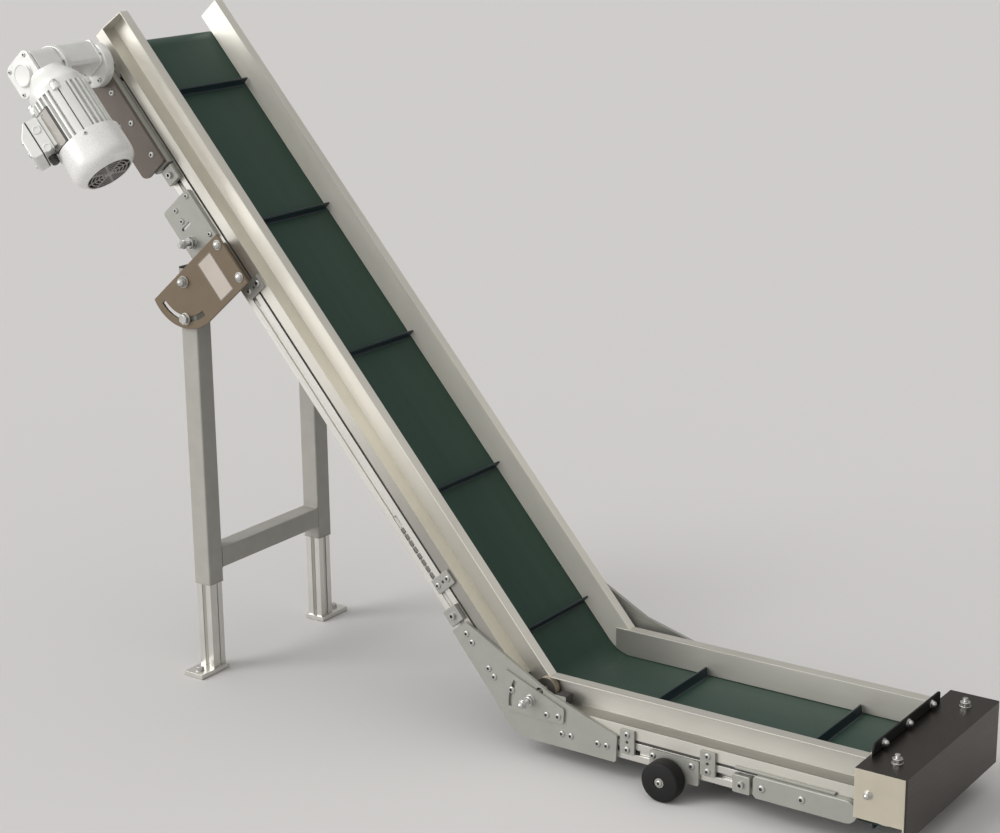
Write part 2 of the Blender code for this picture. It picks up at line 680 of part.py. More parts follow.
def tail_end():
    tail = Vector((TAIL_X, 0.0, KNEE_Z + DRUM_T))
    bars = [tension_bar(side, tag) for side, tag in ((-1, "near"), (1, "far"))]
    radius = DRUM_R - GAP
    profile = [(-133.0, 6.0), (-119.0, 6.0), (-119.0, radius), (119.0, radius),
               (119.0, 6.0), (133.0, 6.0)]
    roller = finish(turned("tail_roller", across(tail), profile, 32), "roller")
    carriage = pivot("tail_carriage", tail, bars)
    axis = pivot("tail_roller_axis", tail, [roller])
    axis.parent = carriage
    axis.matrix_parent_inverse = Matrix.Translation(-tail * MM)


def tail_cover():
    """Folded sheet hood over the tail, open below and towards the belt."""
    wall = 1.5
    start, end = COVER_START, COVER_END
    cover = prism("tail_cover", PLAN,
                  rounded([(start, -COVER_Y, 0), (end, -COVER_Y, 4.0), (end, COVER_Y, 4.0),
                           (start, COVER_Y, 0)], 3), 38.0, COVER_TOP)
    cut(cover, prism("inside", PLAN,
                     rounded([(start - 10.0, wall - COVER_Y, 0),
                              (end - wall, wall - COVER_Y, 2.5),
                              (end - wall, COVER_Y - wall, 2.5),
                              (start - 10.0, COVER_Y - wall, 0)], 3),
                     30.0, COVER_TOP - wall))
    for side in (-1, 1):
        cut(cover, side_prism("end_edge", LEVEL, rect(start - 5.0, 30.0, end - 4.5, 60.0),
                              side, COVER_Y - 5.0, COVER_Y + 5.0))
        stud = axes(Vector((585.0, side * 117.0, 0.0)), X, Y, Z)
        join(cover,
             turned("nut", stud, [(COVER_TOP - 1.0, 7.5), (COVER_TOP + 6.0, 7.5)], 6),
             turned("stud", stud, [(COVER_TOP - 3.5, 3.8), (COVER_TOP + 13.0, 3.8)], 12))
    lip = [(-112.0, COVER_TOP - 1.0), (112.0, COVER_TOP - 1.0), (112.0, COVER_TOP + 10.0),
           (-106.0, COVER_TOP + 10.0), (-112.0, COVER_TOP + 4.0)]
    across_end = axes(Vector(), Y, Z, X)
    join(cover, prism("lip", across_end, lip, start, start + wall))
    finish(cover, "cover")

    low = COVER_TOP + GAP
    strip = prism("seal_strip", across_end,
                  [(-114.0, low), (114.0, low), (114.0, 151.0), (-114.0, 151.0)],
                  start + wall + GAP, start + wall + GAP + 3.0)
    nuts = []
    for y in (-81.0, 0.0, 81.0):
        at = axes(Vector((0.0, y, 142.0)), Y, Z, X)
        face = start + wall + GAP + 3.0
        nuts.append(turned("nut", at, [(face - 1.0, 6.0), (face + 5.0, 6.0),
                                       (face + 8.0, 4.5), (face + 9.5, 2.0)], 12))
    finish(join(strip, *nuts), "rubber")


# ---- drive ------------------------------------------------------------------------
def head_drum():
    head = spot(HEAD_S, DRUM_T)
    radius = DRUM_R - GAP
    profile = [(-198.0, SHAFT_R), (-119.0, SHAFT_R), (-119.0, radius), (119.0, radius),
               (119.0, SHAFT_R), (153.0, SHAFT_R)]
    drum = finish(turned("head_drum", across(head), profile, 32), "roller")
    pivot("head_axis", head, [drum])


def gearbox():
    """Hollow-shaft gear head: flange, raised neck, rim, square body and motor flange."""
    head = across(spot(HEAD_S, DRUM_T))
    box = turned("gearbox", head, [(-157.5, 37.0), (-174.0, 37.0), (-176.0, 35.0)], 36)
    neck = across(spot(HEAD_S + 9.0, DRUM_T + 8.0))
    body = rounded_rect(HEAD_S - 31.0, DRUM_T - 31.0, HEAD_S + 31.0, DRUM_T + 31.0, 9.0, 4)
    lid = rounded_rect(HEAD_S - 29.5, DRUM_T - 29.5, HEAD_S + 29.5, DRUM_T + 29.5, 7.0, 4)
    join(box,
         side_rod("neck", neck, -1, 172.0, 258.0, 25.4, 32),
         side_rod("rim", head, -1, 254.0, 263.0, 40.0, 36),
         side_prism("body", SLOPE, body, -1, 261.0, 317.0),
         side_prism("lid", SLOPE, lid, -1, 315.0, 322.0),
         side_rod("cap", head, -1, 320.0, 327.0, 18.7, 28))
    bell = [(1196.0, 47.0), (1206.0, 47.0), (1213.0, 45.0), (1222.0, 40.0), (1230.0, 34.0),
            (1240.0, 30.0)]
    join(box, turned("bell", MOTOR, bell, 36))
    side_hole(box, head, -1, 150.0, 202.0, BORE_R)
    cut(box, turned("rotor_bore", MOTOR, [(1180.0, 9.0), (1232.0, 9.0)], 20))
    finish(box, "motor")


def fin_outline(core, tip, count):
    """Star section of the finned motor housing, as (u, v)."""
    points = []
    step = 360.0 / count
    for k in range(count):
        for offset, radius in ((-0.36, core), (-0.17, tip), (0.17, tip), (0.36, core)):
            angle = math.radians((k + 0.5 + offset) * step)
            points.append((radius * math.cos(angle), radius * math.sin(angle)))
    return points


def motor():
    housing = prism("motor_housing", MOTOR, fin_outline(40.0, 49.5, 28), 1109.0, 1195.6)
    box_way = axes(MOTOR.translation, ALONG, -(NORMAL + Y).normalized(),
                   (NORMAL - Y).normalized())
    join(housing, prism("pad", box_way, rect(1120.0, 34.0, 1174.0, 50.0), -27.0, 27.0))
    cut(housing, turned("cavity", MOTOR, [(1114.0, 33.0), (1200.0, 33.0)], 28),
        turned("shaft_way", MOTOR, [(1104.0, 9.0), (1116.0, 9.0)], 20))
    finish(housing, "motor")

    inner = COWL_R - 2.0
    shell = [(1108.6, inner), (1108.6, COWL_R), (1066.0, COWL_R), (1056.0, 51.5),
             (1048.0, 46.5), (1044.0, 40.0), (1044.0, 10.0), (1046.0, 10.0),
             (1046.0, 39.0), (1050.0, 45.0), (1057.0, 49.5), (1066.0, inner)]
    cowl = turned("fan_cowl", MOTOR, shell, 36, ring=True)
    for ring_radius in (18.0, 26.0, 34.0):
        for k in range(8):
            slot = curved_slot(0.0, 0.0, ring_radius, k * 45.0 + 6.0, k * 45.0 + 39.0, 2.0, 3)
            cut(cowl, prism("vent", MOTOR, slot, 1039.0, 1047.0))
    finish(cowl, "motor")

    shaft = [(1052.0, 7.0), (1119.0, 7.0), (1119.0, 30.0), (1185.0, 30.0), (1185.0, 7.0),
             (1229.0, 7.0)]
    rotor = finish(turned("motor_rotor", MOTOR, shaft, 28), "motor_inner")
    fan = turned("cooling_fan", MOTOR, [(1062.0, 7.4), (1062.0, 16.0), (1082.0, 16.0),
                                        (1082.0, 7.4)], 20, ring=True)
    for k in range(6):
        blade = axes(MOTOR.translation, *turned_axes(k * 60.0))
        join(fan, prism("blade", blade, rect(14.0, -1.5, 44.0, 1.5), 1064.0, 1080.0))
    finish(fan, "motor_inner")
    pivot("rotor_axis", MOTOR @ Vector((0.0, 0.0, 1152.0)), [rotor, fan])

    side_view = [(1117.0, 50.4), (1176.0, 50.4), (1176.0, 74.0), (1153.0, 89.5),
                 (1121.0, 89.5), (1117.0, 85.5)]
    box = prism("terminal_box", box_way, side_view, -31.0, 31.0)
    gland = axes(box_way @ Vector((0.0, 62.0, 0.0)), box_way.col[2].to_3d(),
                 -box_way.col[1].to_3d(), ALONG)
    join(box, turned("gland", gland, [(1103.0, 5.0), (1108.0, 7.0), (1119.0, 7.0)], 12))
    finish(box, "motor")


def turned_axes(angle):
    """The motor frame's axes turned about the shaft by an angle."""
    c, s = math.cos(math.radians(angle)), math.sin(math.radians(angle))
    return Y * c + NORMAL * s, NORMAL * c - Y * s, ALONG


# ---- assembly -----------------------------------------------------------------------
def main():
    for old in list(bpy.data.objects):
        bpy.data.objects.remove(old)

    for side, tag in ((-1, "near"), (1, "far")):
        rails(side, tag)
        slope_guide(side, tag)
        level_guide(side, tag)
        knee_plate(side, tag)
        adjuster(side, tag)
        head_plate(side, tag)
        leg_mount(side, tag)
        swivel_plate(side, tag)
        support_wheel(side, tag)
        guide_holder("upper_guide_holder_" + tag, SLOPE, 798.5, -43.0, side)
        guide_holder("lower_guide_holder_" + tag, SLOPE, 234.3, -43.0, side)
        guide_holder("knee_guide_holder_" + tag, LEVEL, 165.7, KNEE_Z - 43.0, side)
        guide_holder("tail_guide_holder_" + tag, LEVEL, 302.0, KNEE_Z - 43.0, side)
    stop_block("upper_slot_block", SLOPE, 1034.0, RAIL_T, -1)
    stop_block("lower_slot_block", SLOPE, 182.0, RAIL_T, -1)
    stop_block("level_slot_block", LEVEL, 360.0, KNEE_Z + RAIL_T, -1)
    slide_bed("slope_bed", SLOPE_RUN, FLANGE_START, 1226.0, 1238.0)
    slide_bed("level_bed", LEVEL_RUN, FLANGE_START, 540.0, 501.0)
    tie("lower_cross_tie", SLOPE_RUN, 285.0)
    tie("upper_cross_tie", SLOPE_RUN, 935.0)
    tie("level_cross_tie", LEVEL_RUN, 285.0)
    return_roller()
    belt()
    motor_plate()
    leg_stand()
    tail_end()
    tail_cover()
    head_drum()
    gearbox()
    motor()

    whole = bpy.data.objects.new("conveyor", None)
    whole.location = KNEE_PLACE * MM
    bpy.context.collection.objects.link(whole)
    for piece in bpy.data.objects:
        if piece.parent is None and piece is not whole:
            piece.parent = whole


main()
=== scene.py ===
"""Looks of the belt conveyor section: finishes, fasteners, belt, drive and small parts.

Lengths are in millimetres until a mesh is made. Along the incline, s runs up the slope
from the knee and t is the height over the belt line, square to the slope; y is measured
from the belt's centre plane, with the near side at -y.
"""

import math

import bmesh
import bpy
from mathutils import Matrix, Vector


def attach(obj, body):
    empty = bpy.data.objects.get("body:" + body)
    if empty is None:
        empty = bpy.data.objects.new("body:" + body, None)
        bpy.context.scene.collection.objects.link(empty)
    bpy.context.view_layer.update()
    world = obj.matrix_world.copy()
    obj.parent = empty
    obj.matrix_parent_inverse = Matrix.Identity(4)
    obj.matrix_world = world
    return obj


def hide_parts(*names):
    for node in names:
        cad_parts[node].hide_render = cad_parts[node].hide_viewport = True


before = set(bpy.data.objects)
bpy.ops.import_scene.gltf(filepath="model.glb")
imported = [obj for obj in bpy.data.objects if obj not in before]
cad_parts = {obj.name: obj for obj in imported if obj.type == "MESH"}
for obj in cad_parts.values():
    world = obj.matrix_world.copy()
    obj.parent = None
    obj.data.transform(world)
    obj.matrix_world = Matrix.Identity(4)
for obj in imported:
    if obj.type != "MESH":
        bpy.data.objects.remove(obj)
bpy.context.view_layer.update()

MM = 0.001
SLOPE_ANGLE = 49.5
X, Y, Z = Vector((1, 0, 0)), Vector((0, 1, 0)), Vector((0, 0, 1))
ANGLE = math.radians(SLOPE_ANGLE)
ALONG = Vector((-math.cos(ANGLE), 0, math.sin(ANGLE)))
NORMAL = Vector((math.sin(ANGLE), 0, math.cos(ANGLE)))
MIDDLE = Vector((134.6, 91.6, 0.0))            # the knee's place on the floor
KNEE = MIDDLE + Z * 91.0
RAIL_T = -38.5                                 # middle of the rails under the belt line
HEAD_S, DRUM_T = 1255.0, -30.0                 # head drum's axis
MOTOR_T, MOTOR_Y = -13.0, -296.0               # motor's axis
LEG_X, LEG_Y = -660.0, 146.0
SIDES = ((-1, "near"), (1, "far"))

# distance from the belt's centre plane to the faces that screws sit on
HOLDER_FACE = 140.8
BRACKET_FACE = 141.3
PLATE_FACE = 142.0
BLOCK_FACE = 145.6
ADJUSTER_FACE = 146.0
BAR_FACE = 148.3
FAR_HEAD_FACE, MOTOR_PLATE_FACE = 150.0, 157.0
HOOD_FACE = 163.0
SWIVEL_FACE = 169.3
LEG_BOLT_FACE = 169.9


def axes(origin, u, v, w):
    """A frame as a matrix that turns (u, v, w) into (x, y, z)."""
    matrix = Matrix((u, v, w)).transposed().to_4x4()
    matrix.translation = origin
    return matrix


def spot(s, t, y=0.0):
    return KNEE + ALONG * s + NORMAL * t + Y * y


def level(x, z, y=0.0):
    return MIDDLE + X * x + Z * z + Y * y


LEVEL = axes(MIDDLE, X, Z, Y)                  # outline (x, z), thickness along y
SLOPE = axes(KNEE, ALONG, NORMAL, Y)           # outline (s, t), thickness along y
MOTOR = axes(spot(0, MOTOR_T, MOTOR_Y), Y, NORMAL, ALONG)
HEAD = axes(spot(HEAD_S, DRUM_T), ALONG, NORMAL, Y)


# ---- materials --------------------------------------------------------------------
def new_material(name, colour, metallic, roughness, **inputs):
    made = bpy.data.materials.new(name)
    made.use_nodes = True
    shader = made.node_tree.nodes["Principled BSDF"]
    shader.inputs["Base Color"].default_value = (*colour, 1.0)
    shader.inputs["Metallic"].default_value = metallic
    shader.inputs["Roughness"].default_value = roughness
    for key, value in inputs.items():
        shader.inputs[key.replace("_", " ")].default_value = value
    return made


def add_node(material, kind, **values):
    node = material.node_tree.nodes.new(kind)
    for key, value in values.items():
        if hasattr(node, key):
            setattr(node, key, value)
        else:
            node.inputs[key.replace("_", " ")].default_value = value
    return node


def grain(material, size, angle=0.0, detail=6.0):
    """Noise stretched by size, in metres, in a frame turned about Y by an angle."""
    place = add_node(material, "ShaderNodeTexCoord")
    turn = add_node(material, "ShaderNodeMapping", vector_type="TEXTURE")
    turn.inputs["Rotation"].default_value = (0.0, math.radians(angle), 0.0)
    turn.inputs["Scale"].default_value = size
    noise = add_node(material, "ShaderNodeTexNoise", Scale=1.0, Detail=detail, Roughness=0.6)
    links = material.node_tree.links
    links.new(place.outputs["Object"], turn.inputs["Vector"])
    links.new(turn.outputs["Vector"], noise.inputs["Vector"])
    return noise.outputs["Fac"]


def vary_colour(material, source, low, high, sharp=(0.3, 0.7)):
    """Base colour between two colours by a noise value."""
    links = material.node_tree.links
    ramp = add_node(material, "ShaderNodeValToRGB")
    ramp.color_ramp.elements[0].position = sharp[0]
    ramp.color_ramp.elements[1].position = sharp[1]
    ramp.color_ramp.elements[0].color = (*low, 1.0)
    ramp.color_ramp.elements[1].color = (*high, 1.0)
    links.new(source, ramp.inputs["Fac"])
    links.new(ramp.outputs["Color"],
              material.node_tree.nodes["Principled BSDF"].inputs["Base Color"])


def vary_roughness(material, source, low, high):
    links = material.node_tree.links
    span = add_node(material, "ShaderNodeMapRange")
    span.inputs["From Min"].default_value = 0.3
    span.inputs["From Max"].default_value = 0.7
    span.inputs["To Min"].default_value = low
    span.inputs["To Max"].default_value = high
    links.new(source, span.inputs["Value"])
    links.new(span.outputs["Result"],
              material.node_tree.nodes["Principled BSDF"].inputs["Roughness"])


def bump(material, source, depth, strength=1.0):
    """Relief of a depth in metres."""
    links = material.node_tree.links
    relief = add_node(material, "ShaderNodeBump", Strength=strength, Distance=depth)
    links.new(source, relief.inputs["Height"])
    links.new(relief.outputs["Normal"],
              material.node_tree.nodes["Principled BSDF"].inputs["Normal"])


def shade(colour, factor):
    return tuple(min(1.0, c * factor) for c in colour)


def brushed(name, colour, roughness, size, angle=0.0, metallic=1.0, depth=0.00002):
    """Metal with a fine directional grain and soft blotches."""
    made = new_material(name, colour, metallic, roughness)
    lines = grain(made, size, angle)
    vary_colour(made, grain(made, (0.25, 0.09, 0.09), angle, 3.0), shade(colour, 0.93),
                shade(colour, 1.05))
    vary_roughness(made, lines, roughness - 0.05, roughness + 0.07)
    bump(made, lines, depth, 0.35)
    return made


def across_grain(material, direction, amount):
    """Spreads the highlights square to a metal's brushing direction."""
    shader = material.node_tree.nodes["Principled BSDF"]
    lines = add_node(material, "ShaderNodeCombineXYZ", X=direction.x, Y=direction.y,
                     Z=direction.z)
    material.node_tree.links.new(lines.outputs["Vector"], shader.inputs["Tangent"])
    shader.inputs["Anisotropic"].default_value = amount
    shader.inputs["Anisotropic Rotation"].default_value = 0.25


def paint_light_along(material, start, end, low, high):
    """Paints light and shade into the base colour: scales it from low to high between two
    distances up the slope.
    """
    links = material.node_tree.links
    socket = material.node_tree.nodes["Principled BSDF"].inputs["Base Color"]
    source = socket.links[0].from_socket
    place = add_node(material, "ShaderNodeTexCoord")
    run = add_node(material, "ShaderNodeVectorMath", operation="DOT_PRODUCT")
    run.inputs[1].default_value = ALONG
    span = add_node(material, "ShaderNodeMapRange", interpolation_type="SMOOTHSTEP")
    origin = KNEE.dot(ALONG)
    span.inputs["From Min"].default_value = (origin + start) * MM
    span.inputs["From Max"].default_value = (origin + end) * MM
    span.inputs["To Min"].default_value = low
    span.inputs["To Max"].default_value = high
    scaled = add_node(material, "ShaderNodeVectorMath", operation="SCALE")
    links.new(place.outputs["Object"], run.inputs[0])
    links.new(run.outputs["Value"], span.inputs["Value"])
    links.new(source, scaled.inputs[0])
    links.new(span.outputs["Result"], scaled.inputs["Scale"])
    links.new(scaled.outputs["Vector"], socket)


def painted(name, colour, roughness, metallic=0.0, depth=0.00004, grain_size=0.0012):
    """Sprayed or cast surface with an orange-peel relief and slight mottling."""
    made = new_material(name, colour, metallic, roughness)
    fine = grain(made, (grain_size,) * 3)
    vary_colour(made, grain(made, (0.03, 0.03, 0.03), 0.0, 3.0), shade(colour, 0.95),
                shade(colour, 1.04))
    vary_roughness(made, fine, roughness - 0.04, roughness + 0.06)
    bump(made, fine, depth, 0.4)
    return made


STEEL = (0.70, 0.68, 0.62)
ALU = (0.70, 0.69, 0.65)
PLATE = (0.36, 0.362, 0.33)
LONG_GRAIN = (0.30, 0.0009, 0.0009)
SHEET_GRAIN = (0.12, 0.0012, 0.0012)

profile_level = brushed("profile_level", ALU, 0.33, LONG_GRAIN)
# The slope rails get a brighter copy of the rails' aluminium: painted light.
profile_slope_painted_light = brushed("profile_slope_painted_light", shade(ALU, 1.15), 0.33, LONG_GRAIN, SLOPE_ANGLE)
profile_leg = brushed("profile_leg", ALU, 0.36, (0.0009, 0.0009, 0.30))
# The guides' sheet steel in lit and shaded copies: a darker one on the level guides, painted
# shade; a brighter one on the slope guides that darkens up the slope, painted light and
# reflection.
guide_level_painted_shade = brushed("guide_level_painted_shade", shade(STEEL, 0.78), 0.50, SHEET_GRAIN, 0.0, 0.82)
guide_slope_painted_light = brushed("guide_slope_painted_light", shade(STEEL, 1.3), 0.50, SHEET_GRAIN, SLOPE_ANGLE, 0.82)
across_grain(guide_level_painted_shade, X, 0.35)
across_grain(guide_slope_painted_light, ALONG, 0.85)
paint_light_along(guide_slope_painted_light, 200.0, 1000.0, 1.0, 0.72)
# Brighter copies of the guide steel on the slope guides' webs: painted light; the near web's
# copy also darkens towards the knee, painted shade.
web_far_painted_light = brushed("web_far_painted_light", shade(STEEL, 1.26), 0.50, SHEET_GRAIN, SLOPE_ANGLE, 0.82)
across_grain(web_far_painted_light, ALONG, 0.85)
web_near_painted_light = brushed("web_near_painted_light", shade(STEEL, 1.3), 0.50, SHEET_GRAIN, SLOPE_ANGLE, 0.82)
across_grain(web_near_painted_light, ALONG, 0.85)
paint_light_along(web_near_painted_light, 150.0, 640.0, 0.55, 1.0)
# The lips' copy of the guide steel darkens towards the knee: painted shade.
lip_painted_shade = brushed("lip_painted_shade", shade(STEEL, 0.98), 0.45, SHEET_GRAIN, SLOPE_ANGLE, 0.85)
paint_light_along(lip_painted_shade, 250.0, 720.0, 0.48, 1.0)
# The bottom flanges' copies of the guide steel: on the slope a bright one that darkens up the
# slope, painted light; on the level a dark one, painted shade.
ledge_slope_painted_light = brushed("ledge_slope_painted_light", shade(STEEL, 1.35), 0.46, SHEET_GRAIN, SLOPE_ANGLE, 0.95)
paint_light_along(ledge_slope_painted_light, 250.0, 900.0, 1.0, 0.66)
ledge_level_painted_shade = brushed("ledge_level_painted_shade", shade(STEEL, 0.46), 0.42, SHEET_GRAIN, 0.0, 0.95)
plate_paint = painted("anodised_plate", PLATE, 0.42, 0.55, 0.00002, 0.0007)
dark_plate = painted("dark_plate", (0.13, 0.11, 0.095), 0.38, 0.55, 0.00002)
bronze_plate = painted("bronze_plate", (0.165, 0.125, 0.082), 0.40, 0.35, 0.00002)
# The tail cover's one steel in two copies: bright on its end faces and dark on its top and
# front, painted light and shade.
cover_painted_bright = brushed("cover_painted_bright", (0.66, 0.61, 0.50), 0.42, (0.0012, 0.0012, 0.10))
cover_painted_dark = brushed("cover_painted_dark", (0.078, 0.070, 0.062), 0.34, (0.0011, 0.16, 0.0011))
wheel_beige = painted("wheel_beige", (0.42, 0.35, 0.27), 0.42)
# Near-black for surfaces that sit in shade: the beds under the belt and the inner faces of the
# knee plates and tension bars, painted shade.
painted_shade_dark = painted("painted_shade_dark", (0.075, 0.07, 0.066), 0.5, 0.3)
hub_dark = painted("hub_dark", (0.16, 0.15, 0.135), 0.34, 0.7)
roller_steel = brushed("roller_steel", (0.60, 0.60, 0.58), 0.30, (0.0006, 0.05, 0.0006))
leg_paint = painted("leg_paint", (0.34, 0.33, 0.30), 0.50)
motor_paint = painted("motor_paint", (0.76, 0.765, 0.74), 0.33, 0.35, 0.00006)
cowl_paint = painted("cowl_paint", (0.80, 0.80, 0.785), 0.28, 0.25, 0.00003)
grille_grey = painted("grille_grey", (0.30, 0.29, 0.275), 0.42, 0.2)
grille_dark = painted("grille_dark", (0.012, 0.012, 0.012), 0.70)
rubber = painted("rubber", (0.006, 0.006, 0.0058), 0.58, 0.0, 0.00005, 0.0009)
rubber.node_tree.nodes["Principled BSDF"].inputs["Specular IOR Level"].default_value = 0.3
zinc = brushed("zinc", (0.56, 0.56, 0.54), 0.33, (0.004, 0.004, 0.004), 0.0, 1.0, 0.00001)
# socket_dark paints shade into the screws' hexagon sockets; it is also the nameplate's dark
# frame.
socket_dark = painted("socket_dark", (0.085, 0.084, 0.08), 0.5, 0.5)
rack_grey = painted("rack_grey", (0.17, 0.18, 0.16), 0.45, 0.4)
rotor_dark = painted("rotor_dark", (0.06, 0.06, 0.062), 0.55, 0.2)
label_blank = painted("label_blank", (0.50, 0.44, 0.39), 0.45, 0.0, 0.00001)
label_border = painted("label_border", (0.20, 0.18, 0.15), 0.5)
name_blank = brushed("nameplate_blank", (0.42, 0.40, 0.37), 0.38, (0.01, 0.01, 0.0006))


def belt_material():
    """Dark green belt: matt cover with a fine fabric print and faint travel marks."""
    made = new_material("belt_green", (0.013, 0.043, 0.029), 0.0, 0.48,
                        Specular_IOR_Level=0.42)
    vary_colour(made, grain(made, (0.5, 0.03, 0.5), 0.0, 4.0), (0.0110, 0.038, 0.0250),
                (0.0150, 0.048, 0.0330))
    weave = grain(made, (0.0011, 0.0011, 0.0011), 0.0, 2.0)
    vary_roughness(made, weave, 0.44, 0.54)
    bump(made, weave, 0.00006, 0.5)
    return made


belt_green = belt_material()
cleat_green = painted("cleat_green", (0.005, 0.016, 0.022), 0.34, 0.0, 0.00004, 0.001)


# ---- outlines and solids ------------------------------------------------------------
def arc(cu, cv, radius, start, end, steps):
    points = []
    for k in range(steps + 1):
        angle = math.radians(start + (end - start) * k / steps)
        points.append((cu + radius * math.cos(angle), cv + radius * math.sin(angle)))
    return points


def polygon(radius, sides, turn=0.0):
    return arc(0.0, 0.0, radius, turn, turn + 360.0, sides)[:-1]


def rounded_rect(u0, v0, u1, v1, radius, steps=5):
    points = []
    for cu, cv, start in ((u1 - radius, v0 + radius, -90), (u1 - radius, v1 - radius, 0),
                          (u0 + radius, v1 - radius, 90), (u0 + radius, v0 + radius, 180)):
        points += arc(cu, cv, radius, start, start + 90, steps)
    return points


def add_prism(bm, at, outline, low, high):
    """A closed prism: an outline in a frame's u-v plane, from w = low to w = high."""
    ends = []
    for w in (low, high):
        ends.append([bm.verts.new((at @ Vector((u, v, w))) * MM) for u, v in outline])
    faces = [bm.faces.new(end) for end in ends]
    count = len(outline)
    for i in range(count):
        j = (i + 1) % count
        faces.append(bm.faces.new((ends[0][i], ends[0][j], ends[1][j], ends[1][i])))
    bmesh.ops.recalc_face_normals(bm, faces=faces)


def add_turned(bm, at, profile, steps=32, ring=False):
    """(w, radius) points swept about a frame's w axis, closed by caps or as a ring."""
    rings = []
    for w, radius in profile:
        points = arc(0.0, 0.0, radius, 0.0, 360.0, steps)[:-1]
        rings.append([bm.verts.new((at @ Vector((u, v, w))) * MM) for u, v in points])
    pairs = list(zip(rings, rings[1:]))
    faces = []
    if ring:
        pairs.append((rings[-1], rings[0]))
    else:
        faces += [bm.faces.new(rings[0]), bm.faces.new(rings[-1])]
    for one, two in pairs:
        for i in range(steps):
            j = (i + 1) % steps
            faces.append(bm.faces.new((one[i], one[j], two[j], two[i])))
    bmesh.ops.recalc_face_normals(bm, faces=faces)


def smooth_shade(obj, angle=32.0):
    for face in obj.data.polygons:
        face.use_smooth = True
    obj.data.set_sharp_from_angle(angle=math.radians(angle))


def soften(obj, width, segments=2, angle=38.0):
    """Rounded edges that catch the light."""
    edge = obj.modifiers.new("edges", "BEVEL")
    edge.width = width * MM
    edge.segments = segments
    edge.limit_method = "ANGLE"
    edge.angle_limit = math.radians(angle)
    edge.harden_normals = True
    edge.miter_outer = "MITER_ARC"


def soften_cad(node, width, segments=2):
    """Joins a CAD node's split faces into whole ones, then rounds their edges."""
    mesh = node.data
    if "custom_normal" in mesh.attributes:
        mesh.attributes.remove(mesh.attributes["custom_normal"])
    for face in mesh.polygons:
        face.use_smooth = True
    for attribute in ("sharp_edge", "sharp_face"):
        if attribute in mesh.attributes:
            mesh.attributes.remove(mesh.attributes[attribute])
    joiner = node.modifiers.new("weld", "WELD")
    joiner.merge_threshold = 0.00001
    whole = node.modifiers.new("whole_faces", "DECIMATE")
    whole.decimate_type = "DISSOLVE"
    whole.angle_limit = math.radians(0.6)
    soften(node, width, segments, 30.0)
    flat = node.modifiers.new("flat_faces", "WEIGHTED_NORMAL")
    flat.weight = 90


def piece(name, bm, body, material, edge=0.0, segments=2):
    """Turns a bmesh into a piece that rides on a body."""
    mesh = bpy.data.meshes.new(name)
    bm.to_mesh(mesh)
    bm.free()
    mesh.materials.append(material)
    made = bpy.data.objects.new(name, mesh)
    bpy.context.scene.collection.objects.link(made)
    smooth_shade(made)
    if edge:
        soften(made, edge, segments)
    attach(made, body)
    return made


def prism_piece(name, at, outline, low, high, body, material, edge=0.4):
    bm = bmesh.new()
    add_prism(bm, at, outline, *sorted((low, high)))
    return piece(name, bm, body, material, edge)


def turned_piece(name, at, profile, body, material, steps=32, ring=False, edge=0.0):
    bm = bmesh.new()
    add_turned(bm, at, profile, steps, ring)
    return piece(name, bm, body, material, edge)


# ---- CAD nodes: finishes and soft edges -----------------------------------------------
def pair(*names):
    return [name + "_" + tag for name in names for tag in ("near", "far")]


CAD_FINISH = (
    (pair("slope_rail"), profile_slope_painted_light, 0.35, 2),
    (pair("level_rail"), profile_level, 0.35, 2),
    (["lower_cross_tie", "upper_cross_tie", "level_cross_tie"], profile_level, 0.3, 2),
    (pair("leg_extension"), profile_leg, 0.35, 2),
    (pair("slope_guide"), guide_slope_painted_light, 0.45, 2),
    (pair("level_guide"), guide_level_painted_shade, 0.45, 2),
    # The beds under the belt are painted near-black: painted shade.
    (["slope_bed", "level_bed"], painted_shade_dark, 0.4, 2),
    (pair("knee_plate", "adjuster_plate", "head_plate", "leg_mount_plate", "wheel_bracket",
          "upper_guide_holder", "lower_guide_holder", "knee_guide_holder",
          "tail_guide_holder"), plate_paint, 0.8, 2),
    (pair("tension_bar"), plate_paint, 2.6, 4),
    (["upper_slot_block", "lower_slot_block", "level_slot_block"], plate_paint, 2.4, 3),
    (["motor_plate"], dark_plate, 0.8, 2),
    (pair("swivel_plate"), bronze_plate, 0.7, 2),
    (["head_drum", "tail_roller", "knee_return_roller"], roller_steel, 0.4, 2),
    (["motor_rotor", "cooling_fan"], rotor_dark, 0.3, 2),
    (pair("leg_tube") + ["leg_crossbeam"], leg_paint, 0.6, 2),
    (pair("hold_down_wheel"), wheel_beige, 0.8, 2),
    (["tail_cover"], cover_painted_dark, 0.6, 2),
)


def retouch(names, material, chosen):
    """Gives some faces of CAD nodes another finish; chosen tests a face, in millimetres."""
    for name in names:
        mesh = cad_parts[name].data
        mesh.materials.append(material)
        for face in mesh.polygons:
            centre = face.center / MM - MIDDLE
            if chosen(centre, face.normal):
                face.material_index = len(mesh.materials) - 1


def finish_cad():
    for names, material, edge, segments in CAD_FINISH:
        for name in names:
            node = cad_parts[name]
            node.data.materials.clear()
            node.data.materials.append(material)
            soften_cad(node, edge, segments)


def is_web(centre, normal):
    """Whether a face is on the upright sheet beside the belt."""
    return abs(normal.y) > 0.9 and abs(centre.y) < 112.0


